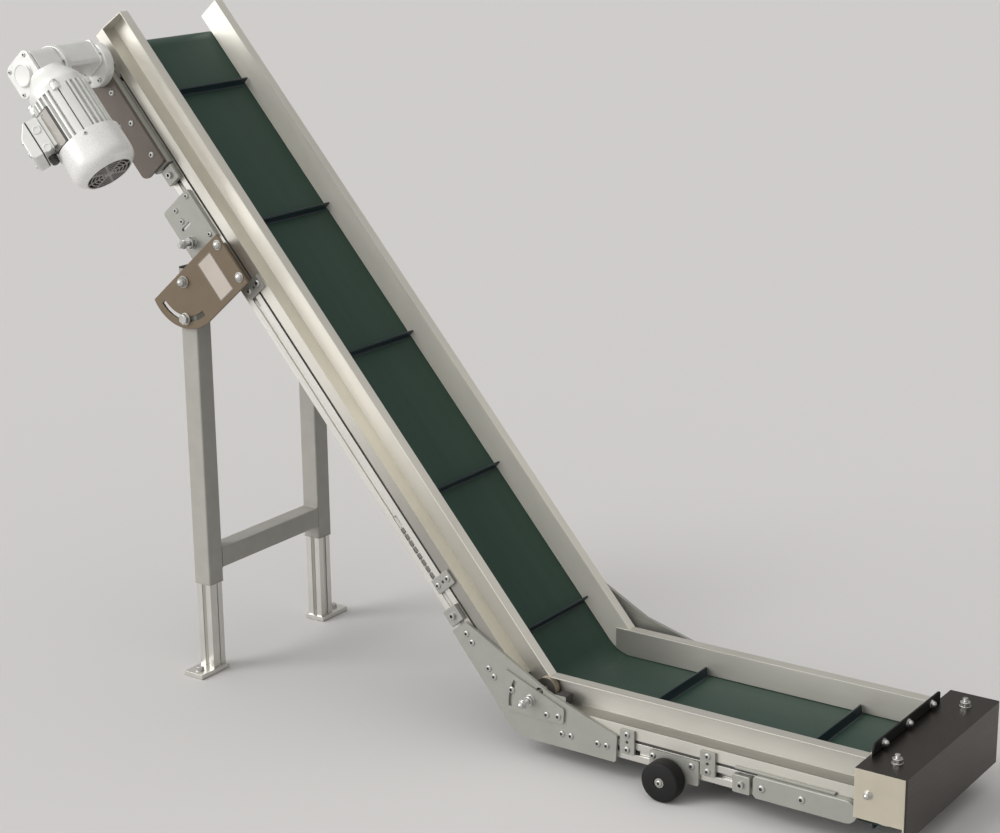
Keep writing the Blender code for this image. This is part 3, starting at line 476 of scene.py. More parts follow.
# ---- belt -----------------------------------------------------------------------------
BELT_HALF = 117.4
WRAP_R = 28.5                                  # outside of the belt round drum and tail
TAIL_X, TAIL_Z = 570.0, 61.0
KNEE_BEND, BEND_R = (27.0, 149.5), 60.0
RETURN_ROLLER, RETURN_R = (-16.8, 54.5), 22.0
CLEAT_HALF = 102.0
CLEAT_PITCH = 264.13
TOP_CLEAT_S = 1158.5
SHOWN_CLEATS, HIDDEN_CLEATS = 7, 8


def belt_loop(depth):
    """The closed belt outline as (x, z) about the knee's place on the floor."""
    head = spot(HEAD_S, DRUM_T) - MIDDLE
    slope_up = 90.0 - SLOPE_ANGLE
    around = WRAP_R - depth
    points = arc(TAIL_X, TAIL_Z, around, -90.0, 90.0, 40)
    points += arc(*KNEE_BEND, BEND_R + depth, -90.0, -90.0 - SLOPE_ANGLE, 24)
    points += arc(head.x, head.z, around, slope_up, slope_up + 180.0, 40)
    points += arc(*RETURN_ROLLER, RETURN_R - depth, slope_up + 180.0, 270.0, 16)
    return [Vector(point) for point in points]


def loop_place(loop, distance):
    for i, point in enumerate(loop):
        step = loop[(i + 1) % len(loop)] - point
        if distance <= step.length:
            return point + step.normalized() * distance, step.normalized()
        distance -= step.length
    return loop[0], (loop[1] - loop[0]).normalized()


def belt_pieces():
    """The belt's cover as one loop, and its cleats spaced round it."""
    outer, inner = belt_loop(0.0), belt_loop(2.0)
    bm = bmesh.new()
    rows = []
    for y in (-BELT_HALF, BELT_HALF):
        rows.append([[bm.verts.new((LEVEL @ Vector((p.x, p.y, y))) * MM) for p in loop]
                     for loop in (outer, inner)])
    count = len(outer)
    for i in range(count):
        j = (i + 1) % count
        (a, b), (c, d) = rows
        bm.faces.new((a[i], a[j], c[j], c[i]))
        bm.faces.new((b[i], b[j], d[j], d[i]))
        bm.faces.new((a[i], a[j], b[j], b[i]))
        bm.faces.new((c[i], c[j], d[j], d[i]))
    bmesh.ops.recalc_face_normals(bm, faces=bm.faces)
    belt = piece("belt_cover", bm, "frame", belt_green, 0.4)
    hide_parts("belt")

    length = sum((outer[(i + 1) % count] - outer[i]).length for i in range(count))
    tangent = BEND_R * math.tan(ANGLE / 2)
    top = math.pi * WRAP_R + (TAIL_X - KNEE_BEND[0]) + BEND_R * ANGLE + (TOP_CLEAT_S - tangent)
    hidden_pitch = (length - (SHOWN_CLEATS - 1) * CLEAT_PITCH) / (HIDDEN_CLEATS + 1)
    places = [top - k * CLEAT_PITCH for k in range(SHOWN_CLEATS)]
    places += [(top + (k + 1) * hidden_pitch) % length for k in range(HIDDEN_CLEATS)]
    for number, place in enumerate(places):
        point, forward = loop_place(outer, place)
        out = Vector((forward.y, -forward.x))
        shape = [(-5.0, -0.2), (-5.0, 0.35), (-2.6, 1.3), (-1.5, 4.0), (-0.3, 14.2),
                 (0.5, 15.0), (2.3, 15.0), (2.9, 14.2), (1.9, 4.0), (2.6, 1.3), (5.0, 0.35),
                 (5.0, -0.2)]
        outline = [tuple(point + forward * a + out * h) for a, h in shape]
        prism_piece(f"cleat_{number}", LEVEL, outline, -CLEAT_HALF, CLEAT_HALF, "frame",
                    cleat_green, 0.0)


# ---- fasteners ------------------------------------------------------------------------
def fastener_mesh(name, build):
    """One shared mesh per kind of fastener; w = 0 is the face that it sits on."""
    bm = bmesh.new()
    build(bm)
    mesh = bpy.data.meshes.new(name)
    bm.to_mesh(mesh)
    bm.free()
    for face in mesh.polygons:
        face.use_smooth = True
    mesh.set_sharp_from_angle(angle=math.radians(32.0))
    mesh.materials.append(zinc)
    mesh.materials.append(socket_dark)
    return mesh


def add_socket(bm, radius, top, depth, head_radius):
    """Sinks a hexagon socket into a head's top and returns the top's outer ring; the socket's
    walls and floor take the second material, a painted shade.
    """
    steps = 24
    outer = [bm.verts.new(Vector((u, v, top)) * MM) for u, v in polygon(head_radius, steps)]
    corner = []
    for k in range(steps):
        angle = math.radians(360.0 * k / steps)
        sector = (angle + math.pi / 6) % (math.pi / 3) - math.pi / 6
        r = radius * math.cos(math.pi / 6) / math.cos(sector)
        corner.append((r * math.cos(angle), r * math.sin(angle)))
    rim = [bm.verts.new(Vector((u, v, top)) * MM) for u, v in corner]
    floor = [bm.verts.new(Vector((u, v, top - depth)) * MM) for u, v in corner]
    for k in range(steps):
        j = (k + 1) % steps
        bm.faces.new((outer[k], outer[j], rim[j], rim[k]))
        wall = bm.faces.new((rim[k], rim[j], floor[j], floor[k]))
        wall.material_index = 1
    base = bm.faces.new(floor)
    base.material_index = 1
    return outer


def head_with_socket(bm, profile, socket, depth):
    """A turned head given from its seat up, its top closed by a hexagon socket."""
    steps = 24
    outer = add_socket(bm, socket, profile[-1][0], depth, profile[-1][1])
    rings = [[bm.verts.new(Vector((u, v, w)) * MM) for u, v in polygon(r, steps)]
             for w, r in profile[:-1]]
    rings.append(outer)
    bm.faces.new(rings[0])
    for one, two in zip(rings, rings[1:]):
        for k in range(steps):
            j = (k + 1) % steps
            bm.faces.new((one[k], one[j], two[j], two[k]))
    bmesh.ops.recalc_face_normals(bm, faces=bm.faces)


FLAT = Matrix.Identity(4)


def build_button(bm):
    head_with_socket(bm, [(0.0, 5.3), (0.4, 5.3), (1.2, 5.0), (2.0, 4.4), (2.5, 3.6)], 2.5, 1.7)


def build_cap_screw(bm):
    head_with_socket(bm, [(0.0, 4.6), (4.2, 4.6), (4.8, 4.1)], 2.6, 2.6)


def add_hex(bm, low, high, radius):
    """A chamfered hexagon: the prism meets a cone at its top."""
    flat = radius * math.cos(math.pi / 6)
    add_prism(bm, FLAT, polygon(radius, 6), low, high - 0.8)
    add_turned(bm, FLAT, [(high - 0.9, flat), (high - 0.8, flat), (high, flat - 0.9)], 24)


def dome(base, height, radius, angles=(0, 20, 40, 58, 74, 86)):
    """(w, radius) points of a rounded cap."""
    return [(base + height * math.sin(math.radians(a)), radius * math.cos(math.radians(a)))
            for a in angles]


def build_hex_bolt(bm):
    add_turned(bm, FLAT, [(0.0, 8.6), (1.4, 8.6), (1.6, 8.3)], 28)
    add_hex(bm, 1.5, 7.2, 7.6)


def build_dome_nut(bm):
    """Washer, hexagon and a domed cap."""
    add_turned(bm, FLAT, [(0.0, 8.2), (1.2, 8.2), (1.5, 7.9)], 28)
    add_hex(bm, 1.4, 5.4, 7.4)
    add_turned(bm, FLAT, [(4.6, 5.9)] + dome(5.0, 6.2, 5.9), 24)


def build_small_dome(bm):
    add_turned(bm, FLAT, [(0.0, 6.0), (0.8, 6.0), (1.0, 5.8)], 24)
    add_hex(bm, 0.9, 3.6, 5.4)
    add_turned(bm, FLAT, [(3.2, 4.3)] + dome(3.4, 4.2, 4.3), 20)


def build_round_head(bm):
    """Large domed head on a washer, as on the swivel plates."""
    add_turned(bm, FLAT, [(0.0, 8.4), (1.2, 8.4), (1.5, 8.1)], 32)
    add_turned(bm, FLAT, dome(1.4, 5.2, 7.0, (0, 15, 30, 45, 60, 75, 86)), 32)


def build_stud_nut(bm):
    """Hexagon nut with washer over a plain stud; the stud's thread stands out of it."""
    add_turned(bm, FLAT, [(0.0, 9.6), (1.4, 9.6), (1.7, 9.2)], 28)
    add_hex(bm, 1.6, 8.6, 9.3)


def thread_profile(low, high, radius, pitch=1.4):
    points = [(low, radius)]
    w = low + pitch / 2
    while w < high - pitch:
        points += [(w, radius), (w + pitch / 2, radius - 0.45)]
        w += pitch
    return points + [(high - 0.5, radius), (high, radius - 0.7)]


SCREWS = {
    "button": fastener_mesh("button_screw", build_button),
    "cap": fastener_mesh("cap_screw", build_cap_screw),
    "hex": fastener_mesh("hex_bolt", build_hex_bolt),
    "dome": fastener_mesh("dome_nut", build_dome_nut),
    "small_dome": fastener_mesh("small_dome_nut", build_small_dome),
    "round": fastener_mesh("round_head", build_round_head),
    "stud_nut": fastener_mesh("stud_nut", build_stud_nut),
}


def place_fastener(kind, name, point, out, body, turn=0.0, size=1.0):
    """Puts a fastener at a point, its head towards out."""
    w = out.normalized()
    u = w.cross(NORMAL)
    if u.length < 0.1:
        u = w.cross(Y)
    u.normalize()
    v = w.cross(u)
    made = bpy.data.objects.new(name, SCREWS[kind])
    bpy.context.scene.collection.objects.link(made)
    place = axes(point * MM, u, v, w)
    made.matrix_world = place @ Matrix.Rotation(math.radians(turn), 4, "Z") @ \
        Matrix.Scale(size, 4)
    bpy.context.view_layer.update()
    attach(made, body)


def side_fasteners():
    """Screws on both sides, as (kind, name, body, place on the side, face y, size)."""
    holders = (("upper", spot, 798.5, -43.0), ("lower", spot, 234.3, -43.0),
               ("knee", level, 165.7, 48.0), ("tail", level, 302.0, 48.0))
    for side, tag in SIDES:
        out = Y * side
        todo = []
        for k, s in enumerate((147.4, 131.2, 83.6, 68.0)):
            todo.append(("button", f"knee_slope_screw_{k}", spot(s, RAIL_T), PLATE_FACE, 1))
        for k, x in enumerate((51.3, 67.1, 115.3, 130.8)):
            todo.append(("button", f"knee_level_screw_{k}", level(x, 53.4), PLATE_FACE, 1))
        todo.append(("button", "adjuster_slot_screw", level(-37.8, 106.2),
                     ADJUSTER_FACE, 1.1))
        todo.append(("button", "adjuster_pivot_screw", level(46.9, 81.7),
                     ADJUSTER_FACE, 1.05))
        for label, place, along, low in holders:
            for end, lift in (("low", 7.5), ("top", 31.5)):
                todo.append(("button", f"{label}_holder_{end}", place(along, low + lift),
                             HOLDER_FACE, 1))
        for k, (s, t) in enumerate(((990, -37), (986, -73), (965, -74), (915, -38.6))):
            todo.append(("button", f"leg_mount_screw_{k}", spot(s, t), PLATE_FACE, 0.95))
        for k, (s, t) in enumerate(((882, -14), (817, -12))):
            todo.append(("round", f"swivel_bolt_{k}", spot(s, t), SWIVEL_FACE, 1))
        for k, (x, z) in enumerate(((210.6, 58.0), (276.0, 57.6))):
            todo.append(("button", f"bracket_screw_{k}", level(x, z), BRACKET_FACE, 1))
        face = MOTOR_PLATE_FACE if side < 0 else FAR_HEAD_FACE
        for k, s in enumerate((1203, 1141, 1077)):
            todo.append(("button", f"head_screw_{k}", spot(s, RAIL_T), face, 1))
        for kind, name, point, y, size in todo:
            place_fastener(kind, f"{name}_{tag}", point + out * y, out, "frame",
                           7.0 * len(name), size)
        place_fastener("button", f"adjuster_screw_{tag}",
                       level(25.9, 79.8) + out * ADJUSTER_FACE, out, f"adjuster_{tag}")
        for k, x in enumerate((394.0, 457.0)):
            place_fastener("button", f"tension_screw_{k}_{tag}",
                           level(x, 56.0) + out * BAR_FACE, out, "tail_carriage", 11.0 * k, 1.1)
        place_fastener("small_dome", f"cover_screw_{tag}",
                       level(564.0, 98.0) + out * HOOD_FACE, out, "frame", 10.0, 1.15)
        stud = axes(level(-4.0, 97.0), X, Z, Y)
        place_fastener("stud_nut", f"adjuster_nut_{tag}",
                       stud.translation + out * ADJUSTER_FACE, out, f"adjuster_{tag}", 12.0,
                       0.92)
        place_fastener("small_dome", f"adjuster_cap_{tag}",
                       stud.translation + out * 166.5, out, f"adjuster_{tag}", 5.0, 1.3)
        turned_piece(f"adjuster_stud_thread_{tag}", stud,
                     [(side * w, r) for w, r in thread_profile(150.0, 170.0, 4.3)],
                     f"adjuster_{tag}", zinc, 20)
        stud = axes(spot(927, -80), X, Z, Y)
        place_fastener("stud_nut", f"leg_mount_nut_{tag}", stud.translation + out * PLATE_FACE,
                       out, "frame", 20.0, 1.08)
        turned_piece(f"leg_mount_thread_{tag}", stud,
                     [(side * w, r) for w, r in thread_profile(148.0, 174.5, 4.4)],
                     "frame", zinc, 20)
        place_fastener("stud_nut", f"leg_mount_end_{tag}", stud.translation + out * 162.0,
                       out, "frame", 50.0, 0.78)
        place_fastener("dome", f"leg_pivot_cap_{tag}",
                       level(LEG_X, 684) + out * LEG_BOLT_FACE, out, "leg_stand", 15.0, 1.22)
        place_fastener("hex", f"leg_clamp_cap_{tag}",
                       level(LEG_X, 622) + out * LEG_BOLT_FACE, out, "leg_stand", 15.0, 1.18)
    for k, place in enumerate((spot(1034.0, RAIL_T), spot(182.0, RAIL_T),
                               level(360.0, 52.5))):
        place_fastener("cap", f"slot_block_screw_{k}", place - Y * BLOCK_FACE, -Y, "frame",
                       0.0, 1.15)


def tail_details():
    """Rubber strip, its nuts, the hood's nuts and the strip plate under the bar."""
    outline = [(-114.0, 134.3), (114.0, 134.3)] + arc(109.0, 146.0, 5.0, 0.0, 90.0, 5) + \
        arc(-101.0, 138.0, 13.0, 90.0, 180.0, 8)
    strip = prism_piece("seal_strip_rubber", axes(MIDDLE, Y, Z, X), outline, 544.8, 547.8,
                        "frame", rubber, 0.6)
    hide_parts("seal_strip")
    for k, y in enumerate((-81.0, 0.0, 81.0)):
        place_fastener("small_dome", f"strip_nut_{k}", level(547.8, 142.0, y), X, "frame",
                       15.0 * k, 1.1)
    for side, tag in SIDES:
        top = level(585.0, 134.0, side * 117.0)
        place_fastener("stud_nut", f"hood_nut_{tag}", top, Z, "frame", 25.0 * side, 0.9)
        turned_piece(f"hood_stud_{tag}", axes(level(585.0, 0.0, side * 117.0), X, Y, Z),
                     thread_profile(140.0, 147.4, 4.1), "frame", zinc, 20)
        prism_piece(f"bar_backing_{tag}", LEVEL, rounded_rect(346.5, 73.4, 505.0, 76.6, 0.8),
                    side * 136.4, side * 142.0, "frame", plate_paint, 0.4)


# ---- leg stand details ------------------------------------------------------------------
def leg_details():
    """End caps, tube mouths, foot bolts, set screws and the cross-beam's welds."""
    for side, tag in SIDES:
        x, y = LEG_X, side * LEG_Y
        plan = axes(MIDDLE, X, Y, Z)
        prism_piece(f"leg_cap_{tag}", plan,
                    rounded_rect(x - 17.4, y - 17.4, x + 17.4, y + 17.4, 3.2), 704.1, 706.5,
                    "leg_stand", rubber, 0.8)
        prism_piece(f"leg_mouth_{tag}", plan,
                    rounded_rect(x - 17.9, y - 17.9, x + 17.9, y + 17.9, 3.4)[::-1],
                    158.2, 159.9, "leg_stand", leg_paint, 0.4)
        place_fastener("hex", f"foot_bolt_{tag}", level(x, 8.0, side * 181.0), Z,
                       f"leg_extension_{tag}", 10.0, 0.95)
        for k, z in enumerate((178.0, 232.0)):
            place_fastener("cap", f"leg_set_screw_{k}_{tag}", level(x - 17.5, z, y), -X,
                           "leg_stand", 0.0, 0.9)
        for k, z in enumerate((181.2, 216.8)):
            bead = axes(level(x, z, side * 128.4), Y, Z, X)
            turned_piece(f"beam_weld_{k}_{tag}", bead,
                         [(-16.0, 0.6)] + [(w * 2.0, 1.5 + 0.25 * (w % 2)) for w in
                                           range(-7, 8)] + [(16.0, 0.6)],
                         "leg_stand", leg_paint, 10)


# ---- wheels -----------------------------------------------------------------------------
def wheels():
    """Rubber tyres over the support wheels, each with its axle screw."""
    for side, tag in SIDES:
        at = axes(level(237.5, 31.0), X, Z, Y)
        tyre = [(143.2, 5.6), (143.2, 28.0), (143.8, 29.6), (145.2, 30.6), (147.0, 31.0),
                (165.2, 31.0), (167.0, 30.6), (168.3, 29.6), (169.0, 28.0), (169.0, 9.6),
                (168.4, 8.8), (167.0, 8.8), (167.0, 5.6)]
        wheel = turned_piece(f"wheel_tyre_{tag}", at, [(side * w, r) for w, r in tyre],
                             f"support_wheel_{tag}", rubber, 80, True)
        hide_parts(f"support_wheel_{tag}")
        place_fastener("button", f"wheel_screw_{tag}", at.translation + Y * side * 168.8,
                       Y * side, "frame", 20.0, 0.98)


# ---- rail slots ---------------------------------------------------------------------------
def rail_details():
    """Slot covers between the clamps and the rack-like strip in the lower slot."""
    for side, tag in SIDES:
        for k, (low, high) in enumerate(((365.0, 770.0), (1050.0, 1195.0))):
            prism_piece(f"slot_cover_{k}_{tag}", SLOPE,
                        rounded_rect(low, RAIL_T - 3.6, high, RAIL_T + 3.6, 1.0), side * 131.6,
                        side * 133.0, "frame", profile_slope_painted_light, 0.3)
        prism_piece(f"level_slot_cover_{tag}", LEVEL,
                    rounded_rect(184.0, 48.9, 286.0, 56.1, 1.0), side * 131.6, side * 133.0,
                    "frame", profile_level, 0.3)
        for k in range(8):
            s = 250.0 + 12.0 * k
            prism_piece(f"rack_tooth_{k}_{tag}", SLOPE,
                        rounded_rect(s, RAIL_T - 3.4, s + 8.2, RAIL_T + 3.4, 0.8),
                        side * 132.0, side * 135.0, "frame", rack_grey, 0.3)
        prism_piece(f"rack_base_{tag}", SLOPE,
                    rounded_rect(247.0, RAIL_T - 3.6, 347.0, RAIL_T + 3.6, 1.0),
                    side * 130.8, side * 132.0, "frame", profile_slope_painted_light, 0.2)
        for name, at, u in (("slope_low", spot(58.0, RAIL_T, side * 121.0), -ALONG),
                            ("slope_top", spot(1213.0, RAIL_T, side * 121.0), ALONG)):
            cap = axes(at, u.cross(Y), Y, u)
            prism_piece(f"rail_cap_{name}_{tag}", cap, rounded_rect(-15, -15, 15, 15, 1.5),
                        0.2, 2.0, "frame", rubber, 0.4)


# ---- drive --------------------------------------------------------------------------------
def gearbox_pieces():
    """Flange, square neck, rim with its screws, rounded body, lid and cap."""
    flange = [(-157.5, 36.4), (-158.1, 37.0), (-173.2, 37.0), (-174.0, 36.6), (-174.6, 35.6),
              (-175.0, 34.0), (-175.0, 20.0)]
    housing = turned_piece("gear_flange", HEAD, flange, "frame", motor_paint, 72)
    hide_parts("gearbox")
    neck = HEAD @ Matrix.Translation((9.0, 8.0, 0.0))
    bm = bmesh.new()
    add_prism(bm, neck, rounded_rect(-22.5, -22.5, 22.5, 22.5, 8.0, 8), -254.5, -175.2)
    add_prism(bm, neck, rounded_rect(-24.0, -24.0, 24.0, 24.0, 9.0, 8), -180.0, -175.1)
    piece("gear_neck", bm, "frame", motor_paint, 1.6, 3)
    rim = [(-254.2, 39.2), (-254.8, 40.0), (-262.2, 40.0), (-262.9, 39.4), (-263.0, 38.6),
           (-262.2, 38.0), (-261.0, 37.6), (-260.6, 31.0)]
    turned_piece("gear_rim", HEAD, rim, "frame", motor_paint, 80)
    for k in range(8):
        u, v = polygon(34.6, 8, 10.0)[k]
        place_fastener("cap", f"rim_screw_{k}", HEAD @ Vector((u, v, -260.4)), -Y, "frame",
                       0.0, 0.62)

    bm = bmesh.new()
    add_prism(bm, HEAD, rounded_rect(-31.0, -31.0, 31.0, 31.0, 15.0, 10), -314.4, -260.8)
    piece("gear_body", bm, "frame", motor_paint, 2.0, 4)
    bm = bmesh.new()
    add_prism(bm, HEAD, rounded_rect(-30.2, -30.2, 30.2, 30.2, 14.0, 10), -315.0, -313.8)
    piece("gear_gasket", bm, "frame", rubber, 0.2)
    bm = bmesh.new()
    add_prism(bm, HEAD, rounded_rect(-31.0, -31.0, 31.0, 31.0, 13.0, 10), -322.0, -315.1)
    piece("gear_lid", bm, "frame", motor_paint, 1.4, 3)
    cap = [(-321.8, 20.6), (-322.6, 20.6), (-323.2, 20.0), (-323.4, 19.0), (-326.2, 18.7),
           (-327.0, 17.8), (-327.0, 16.4), (-326.2, 15.6), (-326.0, 12.0)]
    turned_piece("gear_cap", HEAD, cap, "frame", motor_paint, 64)
    for k, (u, v) in enumerate(((22.5, 22.5), (-22.5, 22.5), (-22.5, -22.5), (22.5, -22.5))):
        place_fastener("button", f"lid_screw_{k}", HEAD @ Vector((u, v, -322.0)), -Y, "frame",
                       17.0 * k, 0.72)
    for k in range(4):
        u, v = polygon(30.5, 4, 0.0)[k]
        place_fastener("cap", f"flange_screw_{k}", HEAD @ Vector((u, v, -175.0)), -Y, "frame",
                       0.0, 0.8)


MOTOR_FEET = (135.0, 45.0, -45.0, -135.0)


def bell_pieces():
    """Cast bell between the motor and the gear head, with its four bolted ears."""
    bell = [(1195.9, 46.2), (1196.5, 47.2), (1205.0, 47.4), (1208.5, 47.0), (1212.0, 45.8),
            (1216.0, 43.8), (1220.0, 41.4), (1224.0, 38.6), (1228.0, 35.8), (1232.0, 33.2),
            (1236.0, 31.2), (1240.0, 30.0)]
    turned_piece("motor_bell", MOTOR, bell, "frame", motor_paint, 80)
    bm = bmesh.new()
    for angle in MOTOR_FEET:
        turn = MOTOR @ Matrix.Rotation(math.radians(angle), 4, "Z")
        ear = [(30.0, -9.5), (44.0, -9.5)] + arc(46.5, 0.0, 8.0, -70.0, 70.0, 10) + \
            [(44.0, 9.5), (30.0, 9.5)]
        add_prism(bm, turn, ear, 1189.5, 1201.0)
    piece("motor_ears", bm, "frame", motor_paint, 1.6, 3)
    for k, angle in enumerate(MOTOR_FEET):
        u, v = polygon(47.0, 1, angle)[0]
        place_fastener("hex", f"motor_bolt_{k}", MOTOR @ Vector((u, v, 1201.0)), ALONG,
                       "frame", 12.0 * k, 0.78)


def fin_section():
    """Motor housing's section: straight fins, with two broad flats on one quarter."""
    ribs = [(angle, 2.6) for angle in range(0, 360, 12) if not 112 < angle < 152]
    ribs += [(123.0, 8.6), (141.5, 7.2)]
    points = []
    for centre, half in sorted(ribs):
        for angle, radius in ((centre - half - 1.2, 41.5), (centre - half, 48.9),
                              (centre, 49.5), (centre + half, 48.9),
                              (centre + half + 1.2, 41.5)):
            a = math.radians(angle)
            points.append((radius * math.cos(a), radius * math.sin(a)))
    return points


def motor_pieces():
    """Finned housing, fan cowl with its grille, and the bare nameplate."""
    bm = bmesh.new()
    add_prism(bm, MOTOR, fin_section(), 1109.0, 1195.6)
    housing = piece("motor_fins", bm, "frame", motor_paint, 0.5, 2)
    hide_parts("motor_housing")

    shell = [(1108.4, 52.2), (1108.4, 53.6), (1107.8, 54.0), (1070.0, 54.0), (1064.0, 53.7),
             (1059.0, 52.8), (1055.0, 51.2), (1051.5, 48.9), (1048.6, 46.0), (1046.4, 43.0),
             (1044.8, 41.0), (1044.2, 40.4), (1044.0, 39.4), (1044.6, 38.6), (1046.0, 38.8),
             (1048.0, 41.0), (1051.0, 45.4), (1056.0, 49.4), (1062.0, 51.6), (1070.0, 52.2)]
    cowl = turned_piece("fan_cowl_shell", MOTOR, shell, "frame", cowl_paint, 88, True)
    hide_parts("fan_cowl")
    bm = bmesh.new()
    for radius in (11.5, 18.0, 24.5, 31.0, 37.6):
        add_turned(bm, MOTOR, [(1044.3, radius), (1044.3, radius + 1.9), (1045.9, radius + 1.9),
                               (1045.9, radius)], 64, True)
    for k in range(8):
        turn = MOTOR @ Matrix.Rotation(math.radians(45.0 * k), 4, "Z")
        add_prism(bm, turn, [(6.0, -1.9), (39.2, -1.9), (39.2, 1.9), (6.0, 1.9)],
                  1044.5, 1045.7)
    add_turned(bm, MOTOR, [(1044.0, 7.0), (1044.2, 8.6), (1046.0, 8.6)], 32)
    piece("fan_grille", bm, "frame", grille_grey, 0.0)
    backing = turned_piece("grille_shadow", MOTOR, [(1049.0, 10.0), (1049.0, 42.0),
                                                    (1050.0, 42.0), (1050.0, 10.0)],
                           "frame", grille_dark, 48, True)
    soften(backing, 0.2)
    for k, angle in enumerate(MOTOR_FEET):
        u, v = polygon(53.9, 1, angle)[0]
        place_fastener("button", f"cowl_screw_{k}", MOTOR @ Vector((u, v, 1102.0)),
                       MOTOR.to_3x3() @ Vector((u, v, 0.0)), "frame", 0.0, 0.62)

    nameplate = axes(MOTOR.translation, ALONG, NORMAL, -Y)
    prism_piece("nameplate_frame", nameplate, rounded_rect(1109.5, -26.5, 1178.5, 10.0, 2.5),
                44.5, 49.8, "frame", socket_dark, 0.5)
    prism_piece("nameplate_blank", nameplate, rounded_rect(1111.5, -22.5, 1176.5, 6.0, 2.0),
                49.8, 50.5, "frame", name_blank, 0.2)
    for k, s in enumerate((1114.5, 1173.5)):
        place_fastener("button", f"nameplate_rivet_{k}", nameplate @ Vector((s, -8.3, 50.5)), -Y,
                       "frame", 0.0, 0.4)


def terminal_pieces():
    """Terminal box: base on its pad, seal, sloped lid, corner screws and cable gland."""
    way = axes(MOTOR.translation, ALONG, -(NORMAL + Y).normalized(), (NORMAL - Y).normalized())
    box = prism_piece("terminal_base", way,
                      [(1117.5, 50.6), (1175.5, 50.6), (1176.0, 51.5), (1176.0, 70.0),
                       (1117.0, 70.0), (1117.0, 51.5)], -30.6, 30.6, "frame", motor_paint,
                      1.8)
    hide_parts("terminal_box")
    prism_piece("terminal_pad", way, rounded_rect(1120.0, 36.0, 1174.0, 50.3, 2.0), -27.0, 27.0,
                "frame", motor_paint, 1.0)
    prism_piece("terminal_seal", way, rounded_rect(1116.2, 70.0, 1176.8, 71.0, 0.4), -31.3, 31.3,
                "frame", rubber, 0.2)
    lid = bmesh.new()
    add_prism(lid, way, [(1116.0, 71.0), (1177.0, 71.0), (1177.0, 74.5), (1153.5, 89.5),
                         (1121.0, 89.5), (1116.0, 85.0)], -31.6, 31.6)
    piece("terminal_lid", lid, "frame", motor_paint, 1.8, 4)
    bm = bmesh.new()
    for s in (1122.5, 1156.0):
        boss = axes(way @ Vector((s, 60.5, 30.0)), ALONG, way.col[1].to_3d(),
                    way.col[2].to_3d())
        add_turned(bm, boss, [(0.0, 7.4), (1.6, 7.2), (2.2, 6.6), (2.3, 4.8), (1.5, 4.4)], 32)
    piece("terminal_bosses", bm, "frame", motor_paint, 0.0)
    for k, (s, v) in enumerate(((1125.0, -26.0), (1149.0, -26.0), (1149.0, 26.0),
                                (1125.0, 26.0))):
        place_fastener("button", f"terminal_screw_{k}", way @ Vector((s, 89.4, v)),
                       way.col[1].to_3d(), "frame", 9.0 * k, 0.62)
    gland = axes(way @ Vector((0.0, 61.0, 0.0)), way.col[2].to_3d(), -way.col[1].to_3d(), ALONG)
    bm = bmesh.new()
    add_prism(bm, gland, polygon(8.4, 6), 1110.5, 1117.0)
    add_turned(bm, gland, [(1103.0, 4.6), (1104.2, 6.4), (1110.6, 7.0), (1117.0, 7.0)], 28)
    piece("cable_gland", bm, "frame", rotor_dark, 0.4)


def label_piece():
    """The bare label field on the near swivel plate: a rim and a paler field."""
    prism_piece("swivel_label", SLOPE, rounded_rect(809.4, -72.4, 884.0, -34.6, 1.2), -169.35,
                -169.6, "frame", label_border, 0.05)
    prism_piece("swivel_label_field", SLOPE, rounded_rect(811.6, -70.2, 881.8, -36.8, 0.8),
                -169.6, -169.8, "frame", label_blank, 0.05)


# ---- set: floor, light and camera -----------------------------------------------------------
BACKDROP = (0.621, 0.607, 0.591)
BRIGHT_SIDE = (-0.50, -0.82, 0.28)             # direction of the sky's brightest part


def sky(world):
    """Soft light, strongest from one side; the camera sees a plain backdrop."""
    world.use_nodes = True
    nodes, links = world.node_tree.nodes, world.node_tree.links
    place = nodes.new("ShaderNodeTexCoord")
    facing = nodes.new("ShaderNodeVectorMath")
    facing.operation = "DOT_PRODUCT"
    facing.inputs[1].default_value = Vector(BRIGHT_SIDE).normalized()
    span = nodes.new("ShaderNodeMapRange")
    span.interpolation_type = "SMOOTHERSTEP"
    for name, value in (("From Min", -0.9), ("From Max", 1.0), ("To Min", 0.30),
                        ("To Max", 1.00)):
        span.inputs[name].default_value = value
    light, plain = nodes["Background"], nodes.new("ShaderNodeBackground")
    light.inputs["Color"].default_value = (1.0, 0.985, 0.965, 1.0)
    plain.inputs["Color"].default_value = (*BACKDROP, 1.0)
    path, mix = nodes.new("ShaderNodeLightPath"), nodes.new("ShaderNodeMixShader")
    links.new(place.outputs["Generated"], facing.inputs[0])
    links.new(facing.outputs["Value"], span.inputs["Value"])
    links.new(span.outputs["Result"], light.inputs["Strength"])
    links.new(path.outputs["Is Camera Ray"], mix.inputs["Fac"])
    links.new(light.outputs["Background"], mix.inputs[1])
    links.new(plain.outputs["Background"], mix.inputs[2])
    links.new(mix.outputs["Shader"], nodes["World Output"].inputs["Surface"])


def sun(name, direction, strength, softness):
    data = bpy.data.lights.new(name, "SUN")
    data.energy = strength
    data.angle = math.radians(softness)
    made = bpy.data.objects.new(name, data)
    made.rotation_euler = Vector(direction).to_track_quat("Z", "Y").to_euler()
    bpy.context.scene.collection.objects.link(made)


FLOOR_HALF = 60                                # metres
FLOOR_Z = -0.0006


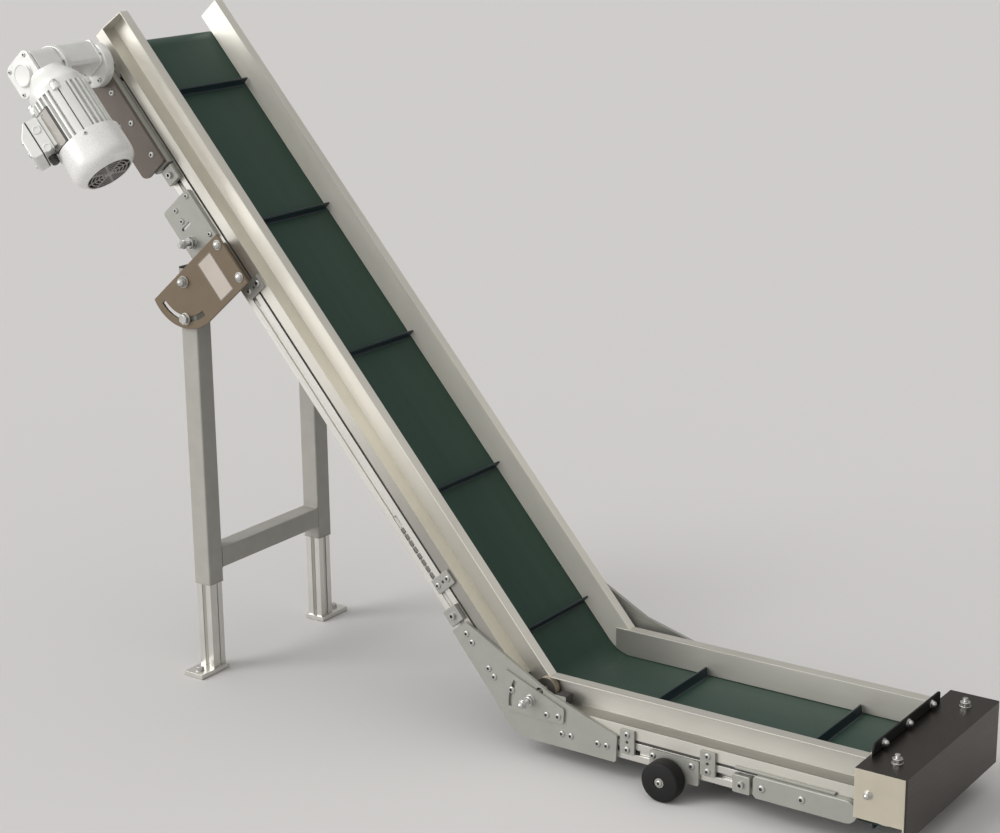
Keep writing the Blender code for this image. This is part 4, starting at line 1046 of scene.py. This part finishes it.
def studio():
    """A pale floor out to the horizon, the sky and three soft suns."""
    bm = bmesh.new()
    for x, y in ((-1, -1), (1, -1), (1, 1), (-1, 1)):
        bm.verts.new((x * FLOOR_HALF, y * FLOOR_HALF, FLOOR_Z))
    bm.faces.new(bm.verts[:])
    mesh = bpy.data.meshes.new("floor")
    bm.to_mesh(mesh)
    bm.free()
    floor = bpy.data.objects.new("floor", mesh)
    bpy.context.scene.collection.objects.link(floor)
    mesh.materials.append(new_material("floor_pale", (0.60, 0.59, 0.585), 0.0, 1.0,
                                       Specular_IOR_Level=0.0))

    bpy.context.scene.world = bpy.data.worlds.new("studio")
    sky(bpy.context.scene.world)
    sun("key", (-0.7, -1.0, 1.25), 0.75, 26.0)
    sun("front", (-0.62, -0.80, 0.22), 1.15, 34.0)
    sun("top", (0.1, 0.3, 1.0), 0.25, 60.0)


def camera():
    data = bpy.data.cameras.new("camera")
    data.sensor_width = 36.0
    data.lens = 36.0 * 2.130
    data.shift_x = 0.0883
    data.shift_y = 0.0045
    data.clip_end = 50.0
    made = bpy.data.objects.new("camera", data)
    made.location = (1.8216, -2.5689, 1.4038)
    made.rotation_euler = [math.radians(a) for a in (74.168, 1.301, 36.796)]
    bpy.context.scene.collection.objects.link(made)
    bpy.context.scene.camera = made
    bpy.context.scene.view_settings.view_transform = "Standard"


camera()
studio()
finish_cad()
# The tail cover's end faces get the bright copy of its steel: painted light.
retouch(["tail_cover"], cover_painted_bright, lambda centre, normal: abs(normal.y) > 0.9)
# The inner faces of the knee plates and tension bars are painted near-black: painted shade.
retouch(pair("knee_plate"), painted_shade_dark, lambda centre, normal: abs(centre.y) < 136.0)
retouch(pair("tension_bar"), painted_shade_dark, lambda centre, normal: abs(centre.y) < 134.0)
# Copies of the guide steel face by face: painted light and shade on the lips, webs and bottom
# flanges.
retouch(pair("slope_guide"), lip_painted_shade,
        lambda centre, normal: abs(normal.y) > 0.9 and abs(centre.y) > 135.0)
retouch(["slope_guide_near"], web_near_painted_light, is_web)
retouch(["slope_guide_far"], web_far_painted_light, is_web)
retouch(pair("slope_guide"), ledge_slope_painted_light, lambda centre, normal:
        normal.dot(NORMAL) > 0.9 and (centre - KNEE + MIDDLE).dot(NORMAL) < 5.0)
retouch(pair("level_guide"), ledge_level_painted_shade, lambda centre, normal:
        normal.z > 0.9 and centre.z < 96.0)
retouch(pair("hold_down_wheel"), hub_dark, lambda centre, normal: abs(normal.y) > 0.9)
belt_pieces()
side_fasteners()
tail_details()
leg_details()
wheels()
rail_details()
gearbox_pieces()
bell_pieces()
motor_pieces()
terminal_pieces()
label_piece()

bpy.context.view_layer.update()
